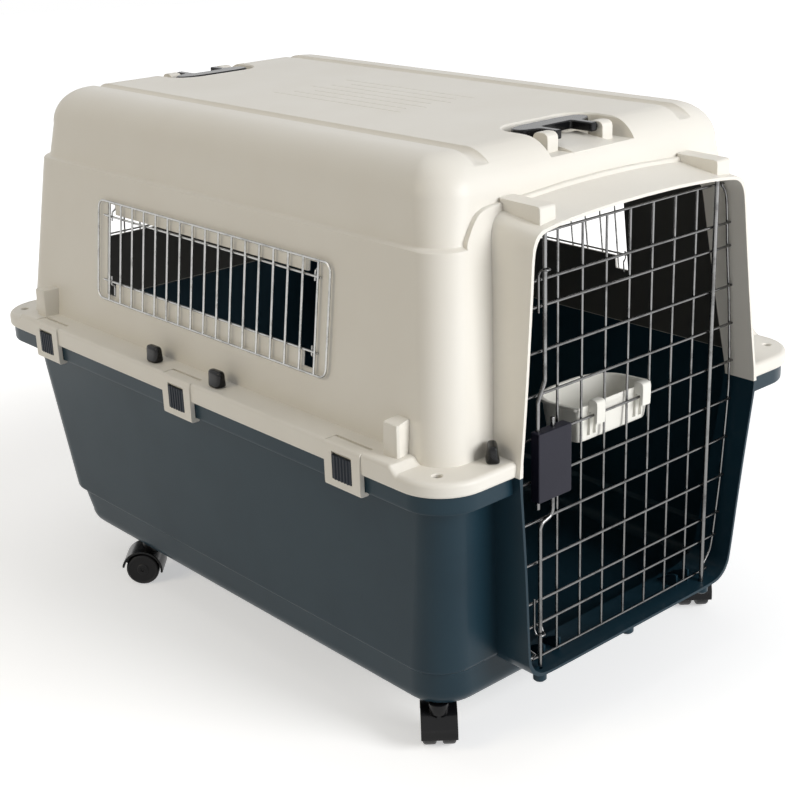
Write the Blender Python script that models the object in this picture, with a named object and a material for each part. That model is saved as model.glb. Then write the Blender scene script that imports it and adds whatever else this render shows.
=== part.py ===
"""Pet travel crate: two drafted plastic shells, wire door, wire windows, clips, handles and casters.

Frame: millimetres scaled to metres, +Z up, the door faces -Y, the origin is under the middle of the
crate on the floor. Every piece is built in place, and the moving ones have their origin on their axis.
"""

import math

import bmesh
import bpy
from mathutils import Matrix, Vector

MM = 0.001
GAP = 0.3  # clearance between pieces that touch

# Shells: heights
FLOOR_TO_SHELL = 66.2
STEP_Z = 120.0
PART_Z = 385.8
FLANGE_TOP = 403.7
LEDGE_Z = 638.4
ROOF_Z = 734.9
DOME_Z = ROOF_Z - 49.9
POCKET_Z = ROOF_Z - 22.9
SKIN = 3.6

# Flange outline
FLANGE_X = 336.3
FLANGE_FRONT = -495.6
FLANGE_REAR = 501.8
FLANGE_R = 62.0
RIM_BOTTOM = 363.2

# Doorway hood
HOOD_ROOT_Y = -405.0
HOOD_Y_PART = -501.8
HOOD_Y_TOP = -493.0
HOOD_Y_BOTTOM = -489.8
HOOD_BOTTOM_Z = 106.4

# Door wires
DOOR_PITCH = 41.4
DOOR_ROWS = [167.8, 199.4, 251.5, 305.2, 357.9, 410.6, 462.2, 513.7, 566.6, 597.1]
DOOR_TOP = 649.5
DOOR_BOTTOM = 119.7
COLUMN_Y = -469.5
WIRE_R = 1.65
ROW_Y = COLUMN_Y - 2 * WIRE_R + 0.3
HINGE_X = 153.5
HINGE_R = 3.0
HINGE_Y = ROW_Y - WIRE_R - HINGE_R + 0.55
ROD_X = -155.0
LOWER_ROD_X = -163.0
ROD_R = 2.6
ROD_Y = ROW_Y - WIRE_R - ROD_R - 1.65
COLLAR_R = ROD_R + 1.3
SPRING_R = ROD_R + 0.9
SPRING_WIRE = 0.5

# Window openings and their wire grilles
WINDOW_Z = (487.3, 583.7)
SIDE_WINDOW_Y = (-229.8, 238.1)
REAR_WINDOW_X = 170.0
GRILLE_Z = (464.0, 601.5)
GRILLE_WIRE_R = 1.5

# Raised run along each side of the flange, with the clips let into it
RUN_TOP = 412.5
RUN_Y = (-412.0, 420.0)
CLIP_Y = (-333.0, 5.0, 343.0)
CLIP_HALF = 32.0
CLIP_AXIS = (323.5, 406.7)
PIN_R = 2.0
SIDE_KNOB_Y = (-62.0, 82.0)
FRONT_KNOB = (234.0, -473.0)
SIDE_KNOB_X = 317.5
CASTERS = {"front": (252.5, -392.0, 41.0), "rear": (252.5, 252.0, -48.0)}

# Roof handles and the bowl
HANDLE_AXIS = (-380.0, ROOF_Z - 5.9)
BOWL_BACK_Y = -382.5
BOWL_TILT = 3.0


def collection(name, hidden=False):
    """A new collection in the scene."""
    made = bpy.data.collections.new(name)
    bpy.context.scene.collection.children.link(made)
    made.hide_render = hidden
    return made


for old in list(bpy.data.objects):
    bpy.data.objects.remove(old)
PARTS = collection("pet_travel_crate")
CUTTERS = collection("cutters", hidden=True)


def material(name, colour, metallic=0.0, roughness=0.5):
    """A plain Principled material."""
    made = bpy.data.materials.new(name)
    made.use_nodes = True
    shader = made.node_tree.nodes["Principled BSDF"]
    shader.inputs["Base Color"].default_value = (*colour, 1.0)
    shader.inputs["Metallic"].default_value = metallic
    shader.inputs["Roughness"].default_value = roughness
    return made


IVORY = ("ivory_plastic", (0.78, 0.76, 0.70), 0.0, 0.45)
PETROL = ("petrol_plastic", (0.022, 0.045, 0.062), 0.0, 0.45)
STEEL = ("bright_wire", (0.62, 0.62, 0.60), 1.0, 0.25)
BLACK = ("black_plastic", (0.012, 0.012, 0.014), 0.0, 0.35)
WHITE = ("bowl_plastic", (0.80, 0.79, 0.74), 0.0, 0.4)
RUBBER = ("wheel_tread", (0.02, 0.02, 0.021), 0.0, 0.6)


def new_object(name, bm, finish=None, origin=(0, 0, 0)):
    """The bmesh, drawn in millimetres, as an object whose origin stands at the given point."""
    bmesh.ops.remove_doubles(bm, verts=bm.verts, dist=0.0005)
    bmesh.ops.recalc_face_normals(bm, faces=bm.faces)
    bm.transform(Matrix.Translation(-Vector(origin)))
    bm.transform(Matrix.Scale(MM, 4))
    mesh = bpy.data.meshes.new(name)
    bm.to_mesh(mesh)
    bm.free()
    made = bpy.data.objects.new(name, mesh)
    made.location = Vector(origin) * MM
    if finish is None:
        CUTTERS.objects.link(made)
        made.hide_render = True
        made.display_type = "WIRE"
    else:
        PARTS.objects.link(made)
        made.data.materials.append(material(name + "_" + finish[0], *finish[1:]))
    return made


def loft(bm, rings, closed=False):
    """Joins equal rings of points with quads. Without closed, the first and last ring are capped."""
    rows = [[bm.verts.new(p) for p in ring] for ring in rings]
    count = len(rows[0])
    pairs = list(zip(rows, rows[1:]))
    if closed:
        pairs.append((rows[-1], rows[0]))
    for low, high in pairs:
        for i in range(count):
            j = (i + 1) % count
            bm.faces.new((low[i], low[j], high[j], high[i]))
    if not closed:
        bm.faces.new(rows[0][::-1])
        bm.faces.new(rows[-1])
    return bm


def rounded(x0, x1, y0, y1, r, steps=3):
    """Outline of a rounded rectangle, anticlockwise."""
    points = []
    for cx, cy, start in ((x1 - r, y0 + r, -90), (x1 - r, y1 - r, 0), (x0 + r, y1 - r, 90), (x0 + r, y0 + r, 180)):
        for k in range(steps + 1):
            angle = math.radians(start + 90 * k / steps)
            points.append((cx + r * math.cos(angle), cy + r * math.sin(angle)))
    return points


def at_z(points, z):
    """A flat outline lifted to the height z."""
    return [(x, y, z) for x, y in points]


def solid(rings, **keys):
    """A closed solid lofted through the rings."""
    return loft(bmesh.new(), rings, **keys)


def box(bm, x0, x1, y0, y1, z0, z1):
    """Adds a box."""
    return loft(bm, [at_z([(x0, y0), (x1, y0), (x1, y1), (x0, y1)], z) for z in (z0, z1)])


def prism(bm, outline, axis, low, high):
    """Adds a straight prism. The outline holds the two other axes, in order."""
    def place(p, t):
        return {"x": (t, p[0], p[1]), "y": (p[0], t, p[1]), "z": (p[0], p[1], t)}[axis]
    return loft(bm, [[place(p, t) for p in outline] for t in (low, high)])


def round_bar(bm, start, end, radius, sides=6, turn=0.0):
    """Adds a straight bar between two points."""
    return swept(bm, [start, end], radius, sides, turn=turn)


def swept(bm, path, radius, sides=6, closed=False, turn=0.0, up=(0, 0, 1)):
    """Adds a bar of round section along the path, with mitred bends."""
    points = [Vector(p) for p in path]
    count = len(points)
    rings = []
    normal = None
    for i, here in enumerate(points):
        before = points[i - 1] if (i > 0 or closed) else here
        after = points[(i + 1) % count] if (i < count - 1 or closed) else here
        into = (here - before).normalized() if here != before else (after - here).normalized()
        out = (after - here).normalized() if here != after else into
        along = (into + out).normalized()
        if normal is None:
            guide = Vector(up)
            if abs(along.dot(guide)) > 0.9:
                guide = Vector((0, 1, 0))
            normal = (guide - along * guide.dot(along)).normalized()
        else:
            normal = (normal - along * normal.dot(along)).normalized()
        side = along.cross(normal)
        stretch = 1.0 / max(0.5, math.sqrt(max(0.0, (1 + into.dot(out)) / 2)))
        bend = (out - into)
        bend = bend.normalized() if bend.length > 1e-6 else None
        ring = []
        for k in range(sides):
            angle = 2 * math.pi * k / sides + turn
            offset = normal * (radius * math.cos(angle)) + side * (radius * math.sin(angle))
            if bend is not None:
                offset += bend * offset.dot(bend) * (stretch - 1)
            ring.append(here + offset)
        rings.append(ring)
    return loft(bm, rings, closed=closed)


def disc(bm, centre, axis, stations, sides=16, turn=0.0):
    """Adds a turned solid: stations are (distance along the axis, radius)."""
    frames = {"x": ((0, 1, 0), (0, 0, 1)), "y": ((0, 0, 1), (1, 0, 0)), "z": ((1, 0, 0), (0, 1, 0))}
    along = {"x": Vector((1, 0, 0)), "y": Vector((0, 1, 0)), "z": Vector((0, 0, 1))}[axis]
    u, v = (Vector(w) for w in frames[axis])
    rings = []
    for t, r in stations:
        ring = []
        for k in range(sides):
            angle = 2 * math.pi * k / sides + turn
            ring.append(Vector(centre) + along * t + u * (r * math.cos(angle)) + v * (r * math.sin(angle)))
        rings.append(ring)
    return loft(bm, rings)


def boolean(target, other, operation="DIFFERENCE"):
    """Adds an exact Boolean to the target."""
    made = target.modifiers.new(operation.lower(), "BOOLEAN")
    made.operation = operation
    made.solver = "EXACT"
    made.object = other
    return made


def join_all(name, finish, pieces, origin=(0, 0, 0)):
    """One solid from several closed bmeshes that overlap, united in order."""
    body = new_object(name, pieces[0], finish, origin)
    for index, piece in enumerate(pieces[1:]):
        boolean(body, new_object(f"{name}_add_{index}", piece), "UNION")
    return body


def cut_all(body, pieces):
    """Cuts each bmesh out of the body."""
    for index, piece in enumerate(pieces):
        boolean(body, new_object(f"{body.name}_cut_{index}", piece))


# Outline of the walls: height, half width, front, rear, corner radius
UPPER_WALL = [
    (PART_Z + 0.15, 300.0, -459.5, 475.5, 40.0),
    (LEDGE_Z, 268.3, -432.0, 447.5, 42.0),
    (LEDGE_Z + 2.5, 261.5, -425.0, 440.5, 42.0),
    (DOME_Z, 255.8, -420.0, 435.0, 48.0),
]
LOWER_WALL = [
    (PART_Z - 0.15, 301.5, -459.0, 475.0, 40.0),
    (318.8, 299.0, -453.5, 463.5, 42.0),
    (126.0, 291.0, -436.0, 424.5, 50.0),
    (STEP_Z, 284.5, -429.5, 417.5, 52.0),
    (90.0, 281.0, -427.0, 408.0, 54.0),
]


def wall_rings(table, inset=0.0):
    """Rings of a shell wall, moved inwards by the inset."""
    return [
        at_z(rounded(-x + inset, x - inset, front + inset, rear - inset, max(r - inset, 6.0)), z)
        for z, x, front, rear, r in table
    ]


def wall_x(z, table=UPPER_WALL):
    """Half width of the wall at a height."""
    for low, high in zip(table, table[1:]):
        a, b = sorted((low[0], high[0]))
        if a <= z <= b:
            share = (z - low[0]) / (high[0] - low[0])
            return low[1] + share * (high[1] - low[1])
    return table[0][1]


def domed(table, top, radius, inset=0.0, steps=4):
    """Wall rings closed at the top by a rounded edge."""
    rings = wall_rings(table, inset)
    z, x, front, rear, r = table[-1]
    for k in range(1, steps + 1):
        angle = math.radians(90 * k / steps)
        pull = inset + (radius - inset) * (1 - math.cos(angle))
        height = z + (top - inset - z) * math.sin(angle)
        rings.append(at_z(rounded(-x + pull, x - pull, front + pull, rear - pull, max(r - pull * 0.6, 8.0)), height))
    return rings


# Hood outlines, as half profiles from the bottom or the parting line: (x, z)
HOOD_UPPER = [(220.6, PART_Z), (208.2, 476.9), (195.4, 587.9), (191.5, 626.0), (187.5, 646.0), (178.0, 657.5),
              (161.0, 661.8), (118.0, 666.0), (60.0, 668.8), (0.0, 669.6)]
HOOD_LOWER = [(100.0, 106.4), (165.0, 107.4), (182.0, 113.0), (192.0, 125.0), (196.5, 145.0),
              (203.6, 225.6), (210.3, 294.0), (220.6, PART_Z)]


def mirrored(half):
    """The half profile and its mirror image, as one outline that runs along the profile and back."""
    return half + [(-x, z) for x, z in reversed(half) if x > 1e-6]


def rim_y(z):
    """The hood's rim leans back from the parting line, upwards and downwards."""
    if z >= PART_Z:
        return HOOD_Y_PART + (HOOD_Y_TOP - HOOD_Y_PART) * (z - PART_Z) / (660.0 - PART_Z)
    return HOOD_Y_PART + (HOOD_Y_BOTTOM - HOOD_Y_PART) * (PART_Z - z) / (PART_Z - HOOD_BOTTOM_Z)


def hood(half, rise, shift=0.0, front=0.0, back=HOOD_ROOT_Y):
    """The hood's solid from its rim to the front wall. shift moves the outline inwards."""
    outline = mirrored(half)
    def offset(x, z, lift):
        pull = 0.0 if abs(x) < 1e-6 else math.copysign(shift, x)
        if half is HOOD_UPPER:
            return (x - pull, (z if z < PART_Z + 1 else z - shift + lift * min(1.0, (z - PART_Z) / 270.0)))
        return (x - pull, (z + shift if z < 140 else z))
    rim = [(p[0], rim_y(z) + front, p[1]) for (x, z), p in ((q, offset(*q, 0.0)) for q in outline)]
    root = [(p[0], back, p[1]) for p in (offset(*q, rise) for q in outline)]
    return solid([rim, root])


def groove_path(x):
    """A V groove along the roof, over both rounded ends."""
    _, _, front, rear, _ = UPPER_WALL[-1]
    radius = ROOF_Z - DOME_Z
    path = [(front + radius * (1 - math.cos(a)), DOME_Z + radius * math.sin(a), -math.cos(a), math.sin(a))
            for a in (math.radians(d) for d in (28, 50, 72, 90))]
    path += [(rear - radius * (1 - math.cos(a)), DOME_Z + radius * math.sin(a), math.cos(a), math.sin(a))
             for a in (math.radians(d) for d in (90, 72, 50, 28))]
    return [(x, y, z, ny, nz) for y, z, ny, nz in path]


def groove(x, depth, width):
    """The V groove's cutter."""
    rings = []
    for px, y, z, ny, nz in groove_path(x):
        deep = (px, y - ny * depth, z - nz * depth)
        left = (px - width, y + ny * 3, z + nz * 3)
        right = (px + width, y + ny * 3, z + nz * 3)
        rings.append([deep, right, left])
    return solid(rings)


def front_of(side, y):
    """A place on the roof's front half, or its mirror image on the rear half."""
    return y if side < 0 else -y + 15.0


def pocket(side, grow=0.0):
    """The handle pocket in the roof: side is -1 at the front and 1 at the rear."""
    y0, y1 = -450.0, -313.0
    top = rounded(-77.0 - grow, 77.0 + grow, y0, y1 + grow, 38.0 + grow)
    bottom = rounded(-73.0 - grow, 73.0 + grow, y0, y1 - 4 + grow, 34.0 + grow)
    rings = [at_z([(x, front_of(side, y)) for x, y in ring], z)
             for ring, z in ((bottom, POCKET_Z - grow), (top, POCKET_Z + 48.0))]
    return solid(rings)


def island(side):
    """The raised floor between the lugs, that slopes down to the roof's edge."""
    outline = [(-411.0, -8.0), (-352.0, -8.0), (-352.0, 8.0), (-398.0, 3.5), (-411.0, 0.5)]
    return prism(bmesh.new(), [(front_of(side, y), POCKET_Z + dz) for y, dz in outline], "x", -36.0, 36.0)


def lug(side, sign):
    """One handle lug, with its rounded top just under the roof's level."""
    outline = [(-12.0, -29.0), (12.0, -29.0), (12.0, 0.0), (9.0, 4.2), (3.0, 5.7), (-5.0, 5.7), (-10.0, 3.6),
               (-12.0, -1.0)]
    x0, x1 = sorted((sign * 39.0, sign * 57.0))
    y, z = HANDLE_AXIS
    return prism(bmesh.new(), [(front_of(side, y + dy), z + dz) for dy, dz in outline], "x", x0, x1)


def flange_ring(z, inset=0.0):
    """Outline of the flange at a height."""
    r = max(FLANGE_R - inset, 4.0)
    return at_z(rounded(-FLANGE_X + inset, FLANGE_X - inset, FLANGE_FRONT + inset, FLANGE_REAR - inset, r), z)


def wall_ring(z, grow):
    """Outline just outside the walls at the parting line."""
    return at_z(rounded(-300.0 - grow, 300.0 + grow, -459.5 - grow, 475.5 + grow, 40.0 + grow), z)


def annulus(outer_low, outer_high, inner_high, inner_low):
    """A closed ring with four edges."""
    return solid([outer_low, outer_high, inner_high, inner_low], closed=True)


def window_outline(a, b):
    """A window opening with a notch for a grille hook at each corner."""
    low, high = WINDOW_Z
    return [(a, 468.0), (a + 23, 468.0), (a + 23, low), (b - 23, low), (b - 23, 468.0), (b, 468.0),
            (b, 597.0), (b - 20, 597.0), (b - 20, high), (a + 20, high), (a + 20, 597.0), (a, 597.0)]


# Upper shell
HINGE_HOLE = (HINGE_X, HINGE_Y, HINGE_R + 0.5)
ROD_HOLE = (ROD_X, ROD_Y, ROD_R + 0.9)


def build_upper_shell():
    """The ivory shell: roof, walls, hood, flange, handle lugs and rest posts."""
    body = new_object("upper_shell", solid(domed(UPPER_WALL, ROOF_Z, ROOF_Z - DOME_Z)), IVORY)
    for x in (-178.0, 178.0):
        boolean(body, new_object("groove", groove(x, 7.0, 13.0)))
    low, top = PART_Z + 0.15, FLANGE_TOP
    flange = solid([flange_ring(low, 1.5), flange_ring(low + 2, 0), flange_ring(top - 6, 0.0),
                    flange_ring(top - 1.5, 2.0), flange_ring(top, 6.5)])
    boolean(body, new_object("upper_flange", flange), "UNION")
    for sign in (-1, 1):
        outer = FLANGE_X
        profile = [(285.0, 395.0), (outer, 395.0), (outer, RUN_TOP - 4.5), (outer - 1.4, RUN_TOP - 1.3),
                   (outer - 4.5, RUN_TOP), (285.0, RUN_TOP)]
        low_end, high_end = RUN_Y
        rings = []
        for y, drop in ((low_end - 13.0, 9.5), (low_end, 0.0), (high_end, 0.0), (high_end + 13.0, 9.5)):
            rings.append([(sign * x, y, z if z < 400 else z - drop) for x, z in profile])
        boolean(body, new_object("side_run", solid(rings)), "UNION")
    boolean(body, new_object("upper_hood", hood(HOOD_UPPER, 14.0)), "UNION")
    for sign in (-1, 1):
        block = [(-484.0, 655.0), (-422.0, 655.0), (-422.0, 684.0), (-481.5, 682.5), (-484.0, 680.5)]
        x0, x1 = sorted((sign * 143.0, sign * 168.0))
        boolean(body, new_object("rod_block", prism(bmesh.new(), block, "x", x0, x1)), "UNION")
        plan = [(285.0, -379.0), (313.5, -381.0), (318.0, -384.5), (318.0, -404.0), (315.0, -407.5), (285.0, -399.5)]
        for side in (-1, 1):
            ends = [(x, y if side < 0 else -5.0 - y) for x, y in plan]
            foot = at_z([(sign * x, y) for x, y in ends], 402.0)
            head = at_z([(sign * (x - 1.0 if x > 300 else x), y) for x, y in ends], 451.5)
            boolean(body, new_object("post", solid([foot, head])), "UNION")
    # Inside of the shell, kept away from the grooves and the handle pockets
    inside = new_object("upper_inside", solid(
        [[(x, y, z - 30) for x, y, z in wall_rings(UPPER_WALL, SKIN)[0]]]
        + domed(UPPER_WALL, ROOF_Z, ROOF_Z - DOME_Z, SKIN)))
    for x in (-178.0, 178.0):
        boolean(inside, new_object("groove_back", groove(x, 12.0, 22.0)))
    for side in (-1, 1):
        boolean(inside, new_object("pocket_back", pocket(side, SKIN)))
    boolean(body, inside)
    for side in (-1, 1):
        boolean(body, new_object("pocket", pocket(side)))
        boolean(body, new_object("island", island(side)), "UNION")
        for sign in (-1, 1):
            boolean(body, new_object("lug", lug(side, sign)), "UNION")
        holes = bmesh.new()
        y, z = front_of(side, HANDLE_AXIS[0]), HANDLE_AXIS[1]
        round_bar(holes, (-52.0, y, z), (52.0, y, z), 3.6, 8)
        boolean(body, new_object("handle_holes", holes))
    # Doorway, flange channel, windows and holes
    cut_all(body, [hood(HOOD_UPPER, 0.0, SKIN, -30.0, -395.0)])
    channel = annulus(flange_ring(low - 5, 5.5), flange_ring(top - 5.5, 7.5), wall_ring(top - 5.5, 4.5),
                      wall_ring(low - 5, 4.5))
    keep = new_object("upper_channel", channel)
    corner = bmesh.new()
    for sx in (-1, 1):
        for y in (-457.5, 465.8):
            disc(corner, (sx * 301.4 + sx * 3, y, 0), "z", ((low - 20, 13.0), (top + 20, 13.0)), 12)
        for y in SIDE_KNOB_Y:
            disc(corner, (sx * SIDE_KNOB_X, y, 0), "z", ((low - 20, 9.0), (top + 20, 9.0)), 12)
        disc(corner, (sx * FRONT_KNOB[0], FRONT_KNOB[1], 0), "z", ((low - 20, 10.0), (top + 20, 10.0)), 12)
        x0, x1 = sorted((sx * 312.5, sx * 345.0))
        for y in CLIP_Y:
            box(corner, x0, x1, y - 41.0, y + 41.0, low - 20, top + 20)
    boolean(keep, new_object("upper_channel_keep", corner))
    front = bmesh.new()
    box(front, -226.0, 226.0, -520.0, -440.0, low - 20, top + 20)
    boolean(keep, new_object("upper_channel_front", front))
    boolean(body, keep)
    recess, bores = bmesh.new(), bmesh.new()
    for sx in (-1, 1):
        outline = [(316.8, 399.8), (331.5, 399.8), (331.5, 375.0), (350.0, 375.0), (350.0, 420.0), (316.8, 420.0)]
        for y in CLIP_Y:
            prism(recess, [(sx * x, z) for x, z in outline], "y", y - CLIP_HALF - 0.6, y + CLIP_HALF + 0.6)
            axis = (sx * CLIP_AXIS[0], CLIP_AXIS[1])
            round_bar(bores, (axis[0], y - 37.2, axis[1]), (axis[0], y + 37.2, axis[1]), PIN_R + GAP, 8, math.radians(11))
    boolean(body, new_object("clip_recesses", recess))
    boolean(body, new_object("clip_pin_holes", bores))
    holes = bmesh.new()
    for sx in (-1, 1):
        for y in (-457.5, 465.8):
            disc(holes, (sx * 304.4, y, 0), "z", ((low - 20, 5.5), (top + 20, 5.5)), 12)
        for y in SIDE_KNOB_Y:
            disc(holes, (sx * SIDE_KNOB_X, y, 0), "z", ((low - 20, 3.5), (top + 20, 3.5)), 8)
        disc(holes, (sx * FRONT_KNOB[0], FRONT_KNOB[1], 0), "z", ((low - 20, 3.5), (top + 20, 3.5)), 8)
    disc(holes, (HINGE_X, HINGE_Y, 0), "z", ((640.0, HINGE_HOLE[2]), (678.0, HINGE_HOLE[2])), 8)
    disc(holes, (ROD_X, ROD_Y, 0), "z", ((640.0, ROD_HOLE[2]), (678.0, ROD_HOLE[2])), 8)
    windows = bmesh.new()
    prism(windows, window_outline(*SIDE_WINDOW_Y), "x", -320.0, 320.0)
    back = bmesh.new()
    prism(back, window_outline(-REAR_WINDOW_X, REAR_WINDOW_X), "y", 380.0, 520.0)
    boolean(body, new_object("shell_holes", holes))
    boolean(body, new_object("side_windows", windows))
    boolean(body, new_object("rear_window", back))
    return body


def build_lower_shell():
    """The petrol shell: floor, walls, rim, door sill, caster sockets and door stops."""
    low = FLOOR_TO_SHELL
    rings = wall_rings(LOWER_WALL)
    z, x, front, rear, r = LOWER_WALL[-1]
    for k in range(1, 4):
        angle = math.radians(30 * k)
        pull = 22.0 * (1 - math.cos(angle))
        height = z - (z - low) * math.sin(angle)
        rings.append(at_z(rounded(-x + pull, x - pull, front + pull, rear - pull, r - pull * 0.6), height))
    body = new_object("lower_shell", solid(rings), PETROL)
    top = PART_Z - 0.15
    rim = solid([flange_ring(RIM_BOTTOM, 6.0), flange_ring(RIM_BOTTOM + 4, 5.0), flange_ring(top, 5.0)])
    boolean(body, new_object("lower_rim", rim), "UNION")
    lower_half = [(px, min(pz, top)) for px, pz in HOOD_LOWER]
    boolean(body, new_object("lower_hood", hood(lower_half, 0.0)), "UNION")
    bosses = bmesh.new()
    for px in (LOWER_ROD_X, 0.0, HINGE_X):
        disc(bosses, (px, -478.0, 0), "z", ((94.0, 6.0), (97.0, 8.5), (109.7, 8.5)), 12, math.radians(7))
    boolean(body, new_object("sill_bosses", bosses), "UNION")
    inner = [(LOWER_WALL[0][0] + 30,) + LOWER_WALL[0][1:]] + LOWER_WALL[1:]
    rings = wall_rings(inner, SKIN)
    for k in range(1, 4):
        angle = math.radians(30 * k)
        pull = SKIN + 18.0 * (1 - math.cos(angle))
        height = z - (z - low - SKIN) * math.sin(angle)
        rings.append(at_z(rounded(-x + pull, x - pull, front + pull, rear - pull, r - pull * 0.6), height))
    inside = new_object("lower_inside", solid(rings))
    sockets = bmesh.new()
    for px, fy in ((-1, "front"), (1, "front"), (-1, "rear"), (1, "rear")):
        cx, cy, _ = CASTERS[fy]
        disc(sockets, (px * cx, cy, 0), "z", ((60.0, 17.0), (84.0, 14.0)), 12)
    boolean(inside, new_object("socket_keep", sockets))
    boolean(body, inside)
    doorway = hood([(px, pz + (30 if pz > 380 else 0)) for px, pz in lower_half], 0.0, SKIN, -30.0, -395.0)
    boolean(body, new_object("lower_doorway", doorway))
    channel = annulus(flange_ring(RIM_BOTTOM - 5, 9.5), flange_ring(top - 5, 9.5), wall_ring(top - 5, 5.0),
                      wall_ring(RIM_BOTTOM - 5, 5.0))
    keep = new_object("lower_channel", channel)
    front = bmesh.new()
    box(front, -225.0, 225.0, -520.0, -440.0, 340.0, 400.0)
    boolean(keep, new_object("lower_channel_front", front))
    solid_corners = bmesh.new()
    for sx in (-1, 1):
        for y in (-457.5, 465.8):
            disc(solid_corners, (sx * 304.4, y, 0), "z", ((340.0, 11.0), (400.0, 11.0)), 12)
    boolean(keep, new_object("lower_channel_keep", solid_corners))
    boolean(body, keep)
    ribs = bmesh.new()
    for px in (-140.0, -112.0, 118.0, 142.0):
        outline = [(-464.0, 106.5), (-432.0, 100.0), (-432.0, 112.0), (-448.0, 122.0), (-457.0, 127.0), (-464.0, 127.5)]
        prism(ribs, outline, "x", px - 1.6, px + 1.6)
    boolean(body, new_object("door_stops", ribs), "UNION")
    holes = bmesh.new()
    for sx in (-1, 1):
        for y in (-457.5, 465.8):
            disc(holes, (sx * 304.4, y, 0), "z", ((340.0, 5.5), (400.0, 5.5)), 12)
        for y in SIDE_KNOB_Y:
            disc(holes, (sx * SIDE_KNOB_X, y, 0), "z", ((350.0, 3.5), (400.0, 3.5)), 8)
        disc(holes, (sx * FRONT_KNOB[0], FRONT_KNOB[1], 0), "z", ((350.0, 3.5), (400.0, 3.5)), 8)
        for where in ("front", "rear"):
            cx, cy, _ = CASTERS[where]
            disc(holes, (sx * cx, cy, 0), "z", ((50.0, 5.4), (79.0, 5.4)), 12)
    disc(holes, (HINGE_X, HINGE_Y, 0), "z", ((97.0, HINGE_HOLE[2]), (130.0, HINGE_HOLE[2])), 8)
    disc(holes, (LOWER_ROD_X, ROD_Y, 0), "z", ((97.0, ROD_HOLE[2]), (130.0, ROD_HOLE[2])), 8)
    boolean(body, new_object("lower_holes", holes))
    return body


# Door
DOOR_EDGE = [(150.0, DOOR_BOTTOM), (162.0, 126.0), (176.0, 140.0), (182.5, 155.0), (189.6, 201.6), (196.7, 257.9),
             (204.5, 355.2), (205.0, 392.0), (204.0, 420.0), (197.9, 493.5), (190.0, 560.6), (185.5, 612.0),
             (181.5, 634.0), (173.0, 645.5), (160.0, 648.6), (0.0, DOOR_TOP)]


def door_half(z):
    """Half width of the door at a height."""
    for (x0, z0), (x1, z1) in zip(DOOR_EDGE, DOOR_EDGE[1:]):
        if z0 <= z <= z1:
            return x0 + (x1 - x0) * (z - z0) / max(z1 - z0, 1e-6)
    return DOOR_EDGE[0][0]


def door_edge_path():
    """The outer wire of the door, as a closed path."""
    right = [(x, COLUMN_Y, z) for x, z in DOOR_EDGE]
    left = [(-x, COLUMN_Y, z) for x, z in reversed(DOOR_EDGE) if x > 1]
    return right + left


def guide_loop(bm, px, z, tail):
    """A wire eye round a latch rod, with two tails welded over the rows behind it."""
    y_tail, r = ROW_Y - WIRE_R - 0.7, 1.35
    left, right = px - 6.0, px + 6.0
    turn = 7.0 if tail > z else -7.0
    swept(bm, [(left, y_tail, tail), (left, y_tail, z + turn), (left + 0.3, y_tail - 3.0, z),
               (left + 2.2, ROD_Y - 5.4, z), (right - 2.2, ROD_Y - 5.4, z), (right - 0.3, y_tail - 3.0, z),
               (right, y_tail, z + turn), (right, y_tail, tail)], r, 5)


def build_door():
    """The welded wire door with its pivot rod and the two guide eyes."""
    edge = bmesh.new()
    swept(edge, door_edge_path(), WIRE_R, 6, closed=True, up=(0, 1, 0))
    columns = bmesh.new()
    for k in range(-3, 4):
        round_bar(columns, (k * DOOR_PITCH, COLUMN_Y, DOOR_BOTTOM), (k * DOOR_PITCH, COLUMN_Y, DOOR_TOP - 0.3),
                  WIRE_R + 0.05, 4, turn=math.radians(44))
    rows = bmesh.new()
    for z in DOOR_ROWS:
        half = door_half(z) + 2.5
        round_bar(rows, (-half, ROW_Y, z), (half, ROW_Y, z), WIRE_R + 0.03, 5, turn=math.radians(18))
    rod = bmesh.new()
    round_bar(rod, (HINGE_X, HINGE_Y, 98.0), (HINGE_X, HINGE_Y, 674.0), HINGE_R, 8, turn=math.radians(22.5))
    loops = bmesh.new()
    guide_loop(loops, ROD_X, 610.0, 560.0)
    guide_loop(loops, LOWER_ROD_X, 158.0, 206.0)
    return join_all("door_mesh", STEEL, [edge, columns, rows, rod, loops], (HINGE_X, HINGE_Y, 386.0))


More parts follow.
